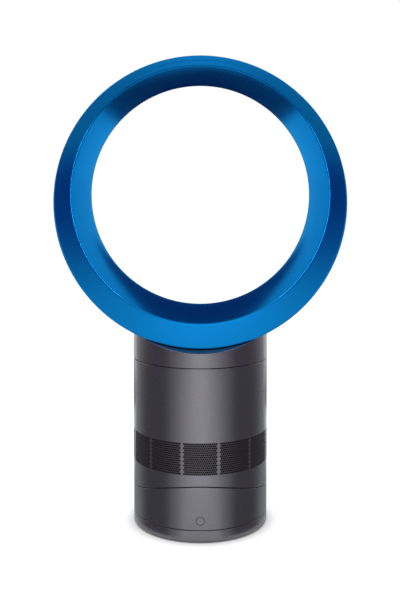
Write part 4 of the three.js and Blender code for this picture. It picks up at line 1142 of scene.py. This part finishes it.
def dark_card(name, start, end):
    """A curved card from the foot outwards and up, spun about the fan's axis; angles from -Y."""
    bpy.ops.mesh.primitive_plane_add(size=1)
    card = bpy.context.active_object
    card.name = name
    bpy.ops.object.mode_set(mode="EDIT")
    bpy.ops.mesh.select_mode(type="VERT")
    pick_verts(lambda place: place.x > 0)
    bpy.ops.mesh.delete(type="VERT")
    mesh = bmesh.from_edit_mesh(card.data)
    mesh.verts.ensure_lookup_table()
    mesh.verts[0].co = CARD_NEAR
    mesh.verts[1].co = CARD_FAR
    bmesh.update_edit_mesh(card.data)
    pick_verts(lambda place: place.y < CARD_FAR[1] / 2)
    bpy.ops.mesh.extrude_vertices_move(TRANSFORM_OT_translate={"value": CARD_KNEE})
    bpy.ops.mesh.extrude_vertices_move(TRANSFORM_OT_translate={"value": CARD_RISE})
    bpy.ops.mesh.select_all(action="SELECT")
    turn = -math.radians(start)
    sweep = math.radians(start - end)
    bpy.ops.transform.rotate(value=turn, orient_axis="Z", center_override=(0, 0, 0))
    bpy.ops.mesh.select_all(action="SELECT")
    bpy.ops.mesh.spin(steps=CARD_STEPS, angle=sweep, center=(0, 0, 0), axis=(0, 0, 1))
    bpy.ops.object.mode_set(mode="OBJECT")
    for_reflections_only(card)
    print(f"{name}: {len(card.data.polygons)} faces")
    return card


right_card = dark_card("card_right", CARD_START, CARD_END)
left_card = dark_card("card_left", -CARD_END, -CARD_START)

# %% [markdown]
# ## Card paint
# The paint is a ramp over the angle at which the pedestal's mirror image meets the card. A point of
# the card at distance r lies at another angle seen from the pedestal's surface than seen from its
# axis. For a round mirror of radius R the factor 2r / (2r - R) makes up for that, so that the
# stripes stay upright down to the foot. The lower ramp blends into the upper one with height.

# %% Angle on the card
card_paint, card_tree, _ = with_nodes("card_paint")
card_tree.nodes.clear()
card_where = add_node(card_tree, "ShaderNodeTexCoord")
split = add_node(card_tree, "ShaderNodeSeparateXYZ")
flat_place = add_node(card_tree, "ShaderNodeVectorMath", "MULTIPLY", inputs=[(1, (2, 2, 0))])
length_of = add_node(card_tree, "ShaderNodeVectorMath", "LENGTH")
card_tree.links.new(card_where.outputs["Object"], split.inputs[0])
card_tree.links.new(card_where.outputs["Object"], flat_place.inputs[0])
card_tree.links.new(flat_place.outputs[0], length_of.inputs[0])
twice_r = length_of.outputs["Value"]
side_way = math_node(card_tree, "ABSOLUTE", split.outputs["X"])
front_way = math_node(card_tree, "MULTIPLY", split.outputs["Y"], -1)
angle = math_node(card_tree, "ARCTAN2", side_way, front_way)
beyond = math_node(card_tree, "SUBTRACT", twice_r, BODY_R)
nearness = math_node(card_tree, "DIVIDE", twice_r, beyond)
seen_angle = math_node(card_tree, "MULTIPLY", angle, nearness)
card_span = [("From Min", math.radians(CARD_START)), ("From Max", math.radians(CARD_END))]
spread = add_node(card_tree, "ShaderNodeMapRange", inputs=card_span)
card_tree.links.new(seen_angle, spread.inputs["Value"])

# %% Ramps over the angle, blended with height
PALE = (0.9, 0.9, 0.9)
SOFT = (0.42, 0.46, 0.46)
GREY = (0.4, 0.4, 0.42)
DIM = (0.13, 0.125, 0.14)
NIGHT = (0.12, 0.05, 0.24)


def shade(stops):
    """A colour ramp over the card's angle; stops are (angle, colour)."""
    node = add_node(card_tree, "ShaderNodeValToRGB")
    node.color_ramp.interpolation = "EASE"
    edges = node.color_ramp.elements
    while len(edges) < len(stops):
        edges.new(0.5)
    for edge, (at, colour) in zip(edges, stops):
        edge.position = (at - CARD_START) / (CARD_END - CARD_START)
        edge.color = (*colour, 1)
    card_tree.links.new(spread.outputs["Result"], node.inputs["Fac"])
    return node.outputs["Color"]


low_stops = [(CARD_START, PALE), (22, PALE), (46, GREY), (62, DIM), (104, DIM), (CARD_END, SOFT)]
high_stops = [(CARD_START, PALE), (28, NIGHT), (96, NIGHT), (112, PALE), (CARD_END, PALE)]
BLEND_HEIGHTS = [("From Min", 0.02), ("From Max", 0.2)]
rise = add_node(card_tree, "ShaderNodeMapRange", inputs=BLEND_HEIGHTS)
blend = add_node(card_tree, "ShaderNodeMix", data_type="RGBA")
glow = add_node(card_tree, "ShaderNodeEmission")
card_out = add_node(card_tree, "ShaderNodeOutputMaterial")
card_tree.links.new(split.outputs["Z"], rise.inputs["Value"])
card_tree.links.new(rise.outputs["Result"], blend.inputs["Factor"])
card_tree.links.new(shade(low_stops), blend.inputs["A"])
card_tree.links.new(shade(high_stops), blend.inputs["B"])
card_tree.links.new(blend.outputs["Result"], glow.inputs["Color"])
card_tree.links.new(glow.outputs[0], card_out.inputs["Surface"])
for card in (left_card, right_card):
    card.data.materials.append(card_paint)


# %% Dark cards behind, for the top and the bottom of the bore
def back_card(name, corner_low, corner_high, colour):
    """A flat card between two corners, upright or lying on the floor."""
    size = Vector(corner_high) - Vector(corner_low)
    middle = (Vector(corner_high) + Vector(corner_low)) / 2
    stands = size.z > size.y
    turn = UPRIGHT if stands else (0, 0, 0)
    bpy.ops.mesh.primitive_plane_add(size=1, location=middle, rotation=turn)
    card = bpy.context.active_object
    card.name = name
    card.scale = (size.x, size.z if stands else size.y, 1)
    settle()
    dark, _, dark_shader = with_nodes(name)
    dark_shader.inputs["Base Color"].default_value = (0.01, 0.01, 0.012, 1)
    dark_shader.inputs["Emission Color"].default_value = (*colour, 1)
    dark_shader.inputs["Emission Strength"].default_value = 0.5
    card.data.materials.append(dark)
    for_reflections_only(card)


back_card("card_high", (-0.42, 1.0, 0.52), (0.42, 1.0, 1.6), (0.14, 0.02, 0.24))
back_card("card_rear", (-0.3, 1.9, 0.01), (0.3, 1.9, 0.6), (0.12, 0.02, 0.18))
back_card("card_low", (-0.4, 0.45, 0.003), (0.4, 2.0, 0.003), (0.12, 0.0, 0.12))

# %% [markdown]
# ## Lamps
# A large, weak lamp in front and above gives the soft light. The thin bright line round the crest
# is the mirror image of strip lamps at the sides: the crest is so sharply curved that it sees a
# wide arc in one line. So small lamps stand on a hoop round the view, leaving out its top and
# bottom. They light only the front shell, or each seam of the pedestal would sparkle as well.


# %% An area lamp, and the soft one
def area_lamp(name, power, size, location, turn):
    """An area lamp of a length and a width, turned by a matrix; it shines along its own -Z."""
    lamp_data = bpy.data.lights.new(name, "AREA")
    lamp_data.energy = power
    lamp_data.shape = "RECTANGLE"
    lamp_data.size, lamp_data.size_y = size
    lamp = bpy.data.objects.new(name, lamp_data)
    lamp.location = location
    lamp.rotation_euler = turn.to_euler()
    bpy.context.scene.collection.objects.link(lamp)
    return lamp


KEY_POWER = 10
KEY_SIZE = 2.2
key_place = Vector((-0.5, -2.0, 2.2))
key_aim = Vector((0, 0, 0.3)) - key_place
key_turn = key_aim.to_track_quat("-Z", "Y").to_matrix()
area_lamp("key_lamp", KEY_POWER, (KEY_SIZE, KEY_SIZE), key_place, key_turn)

# %% Edge lamps
HOOP_R = 0.62
HOOP_Y = -0.26
LAMP_RADIANCE = 9.0
LAMP_WIDTH = 0.12
LAMP_LENGTH = 0.24
lamp_power = LAMP_RADIANCE * math.pi * LAMP_WIDTH * LAMP_LENGTH
ring_centre = Vector((0, 0, RING_Z))
ring_only = bpy.data.collections.new("lit_by_edge_lamps")
ring_only.objects.link(ring_front)
for side in (-1, 1):
    for tilt in (-22, 0, 22, 44):
        out_x = side * HOOP_R * math.cos(math.radians(tilt))
        up_z = HOOP_R * math.sin(math.radians(tilt))
        spot = ring_centre + Vector((out_x, HOOP_Y, up_z))
        away = (ring_centre - spot).normalized()
        along = Vector((-up_z, 0, out_x)).normalized()
        across = along.cross(away)
        turn = Matrix((along, across, -away)).transposed()
        edge_lamp = area_lamp("edge_lamp", lamp_power, (LAMP_LENGTH, LAMP_WIDTH), spot, turn)
        edge_lamp.light_linking.receiver_collection = ring_only
print(f"edge lamps of {lamp_power:.2f} W each")
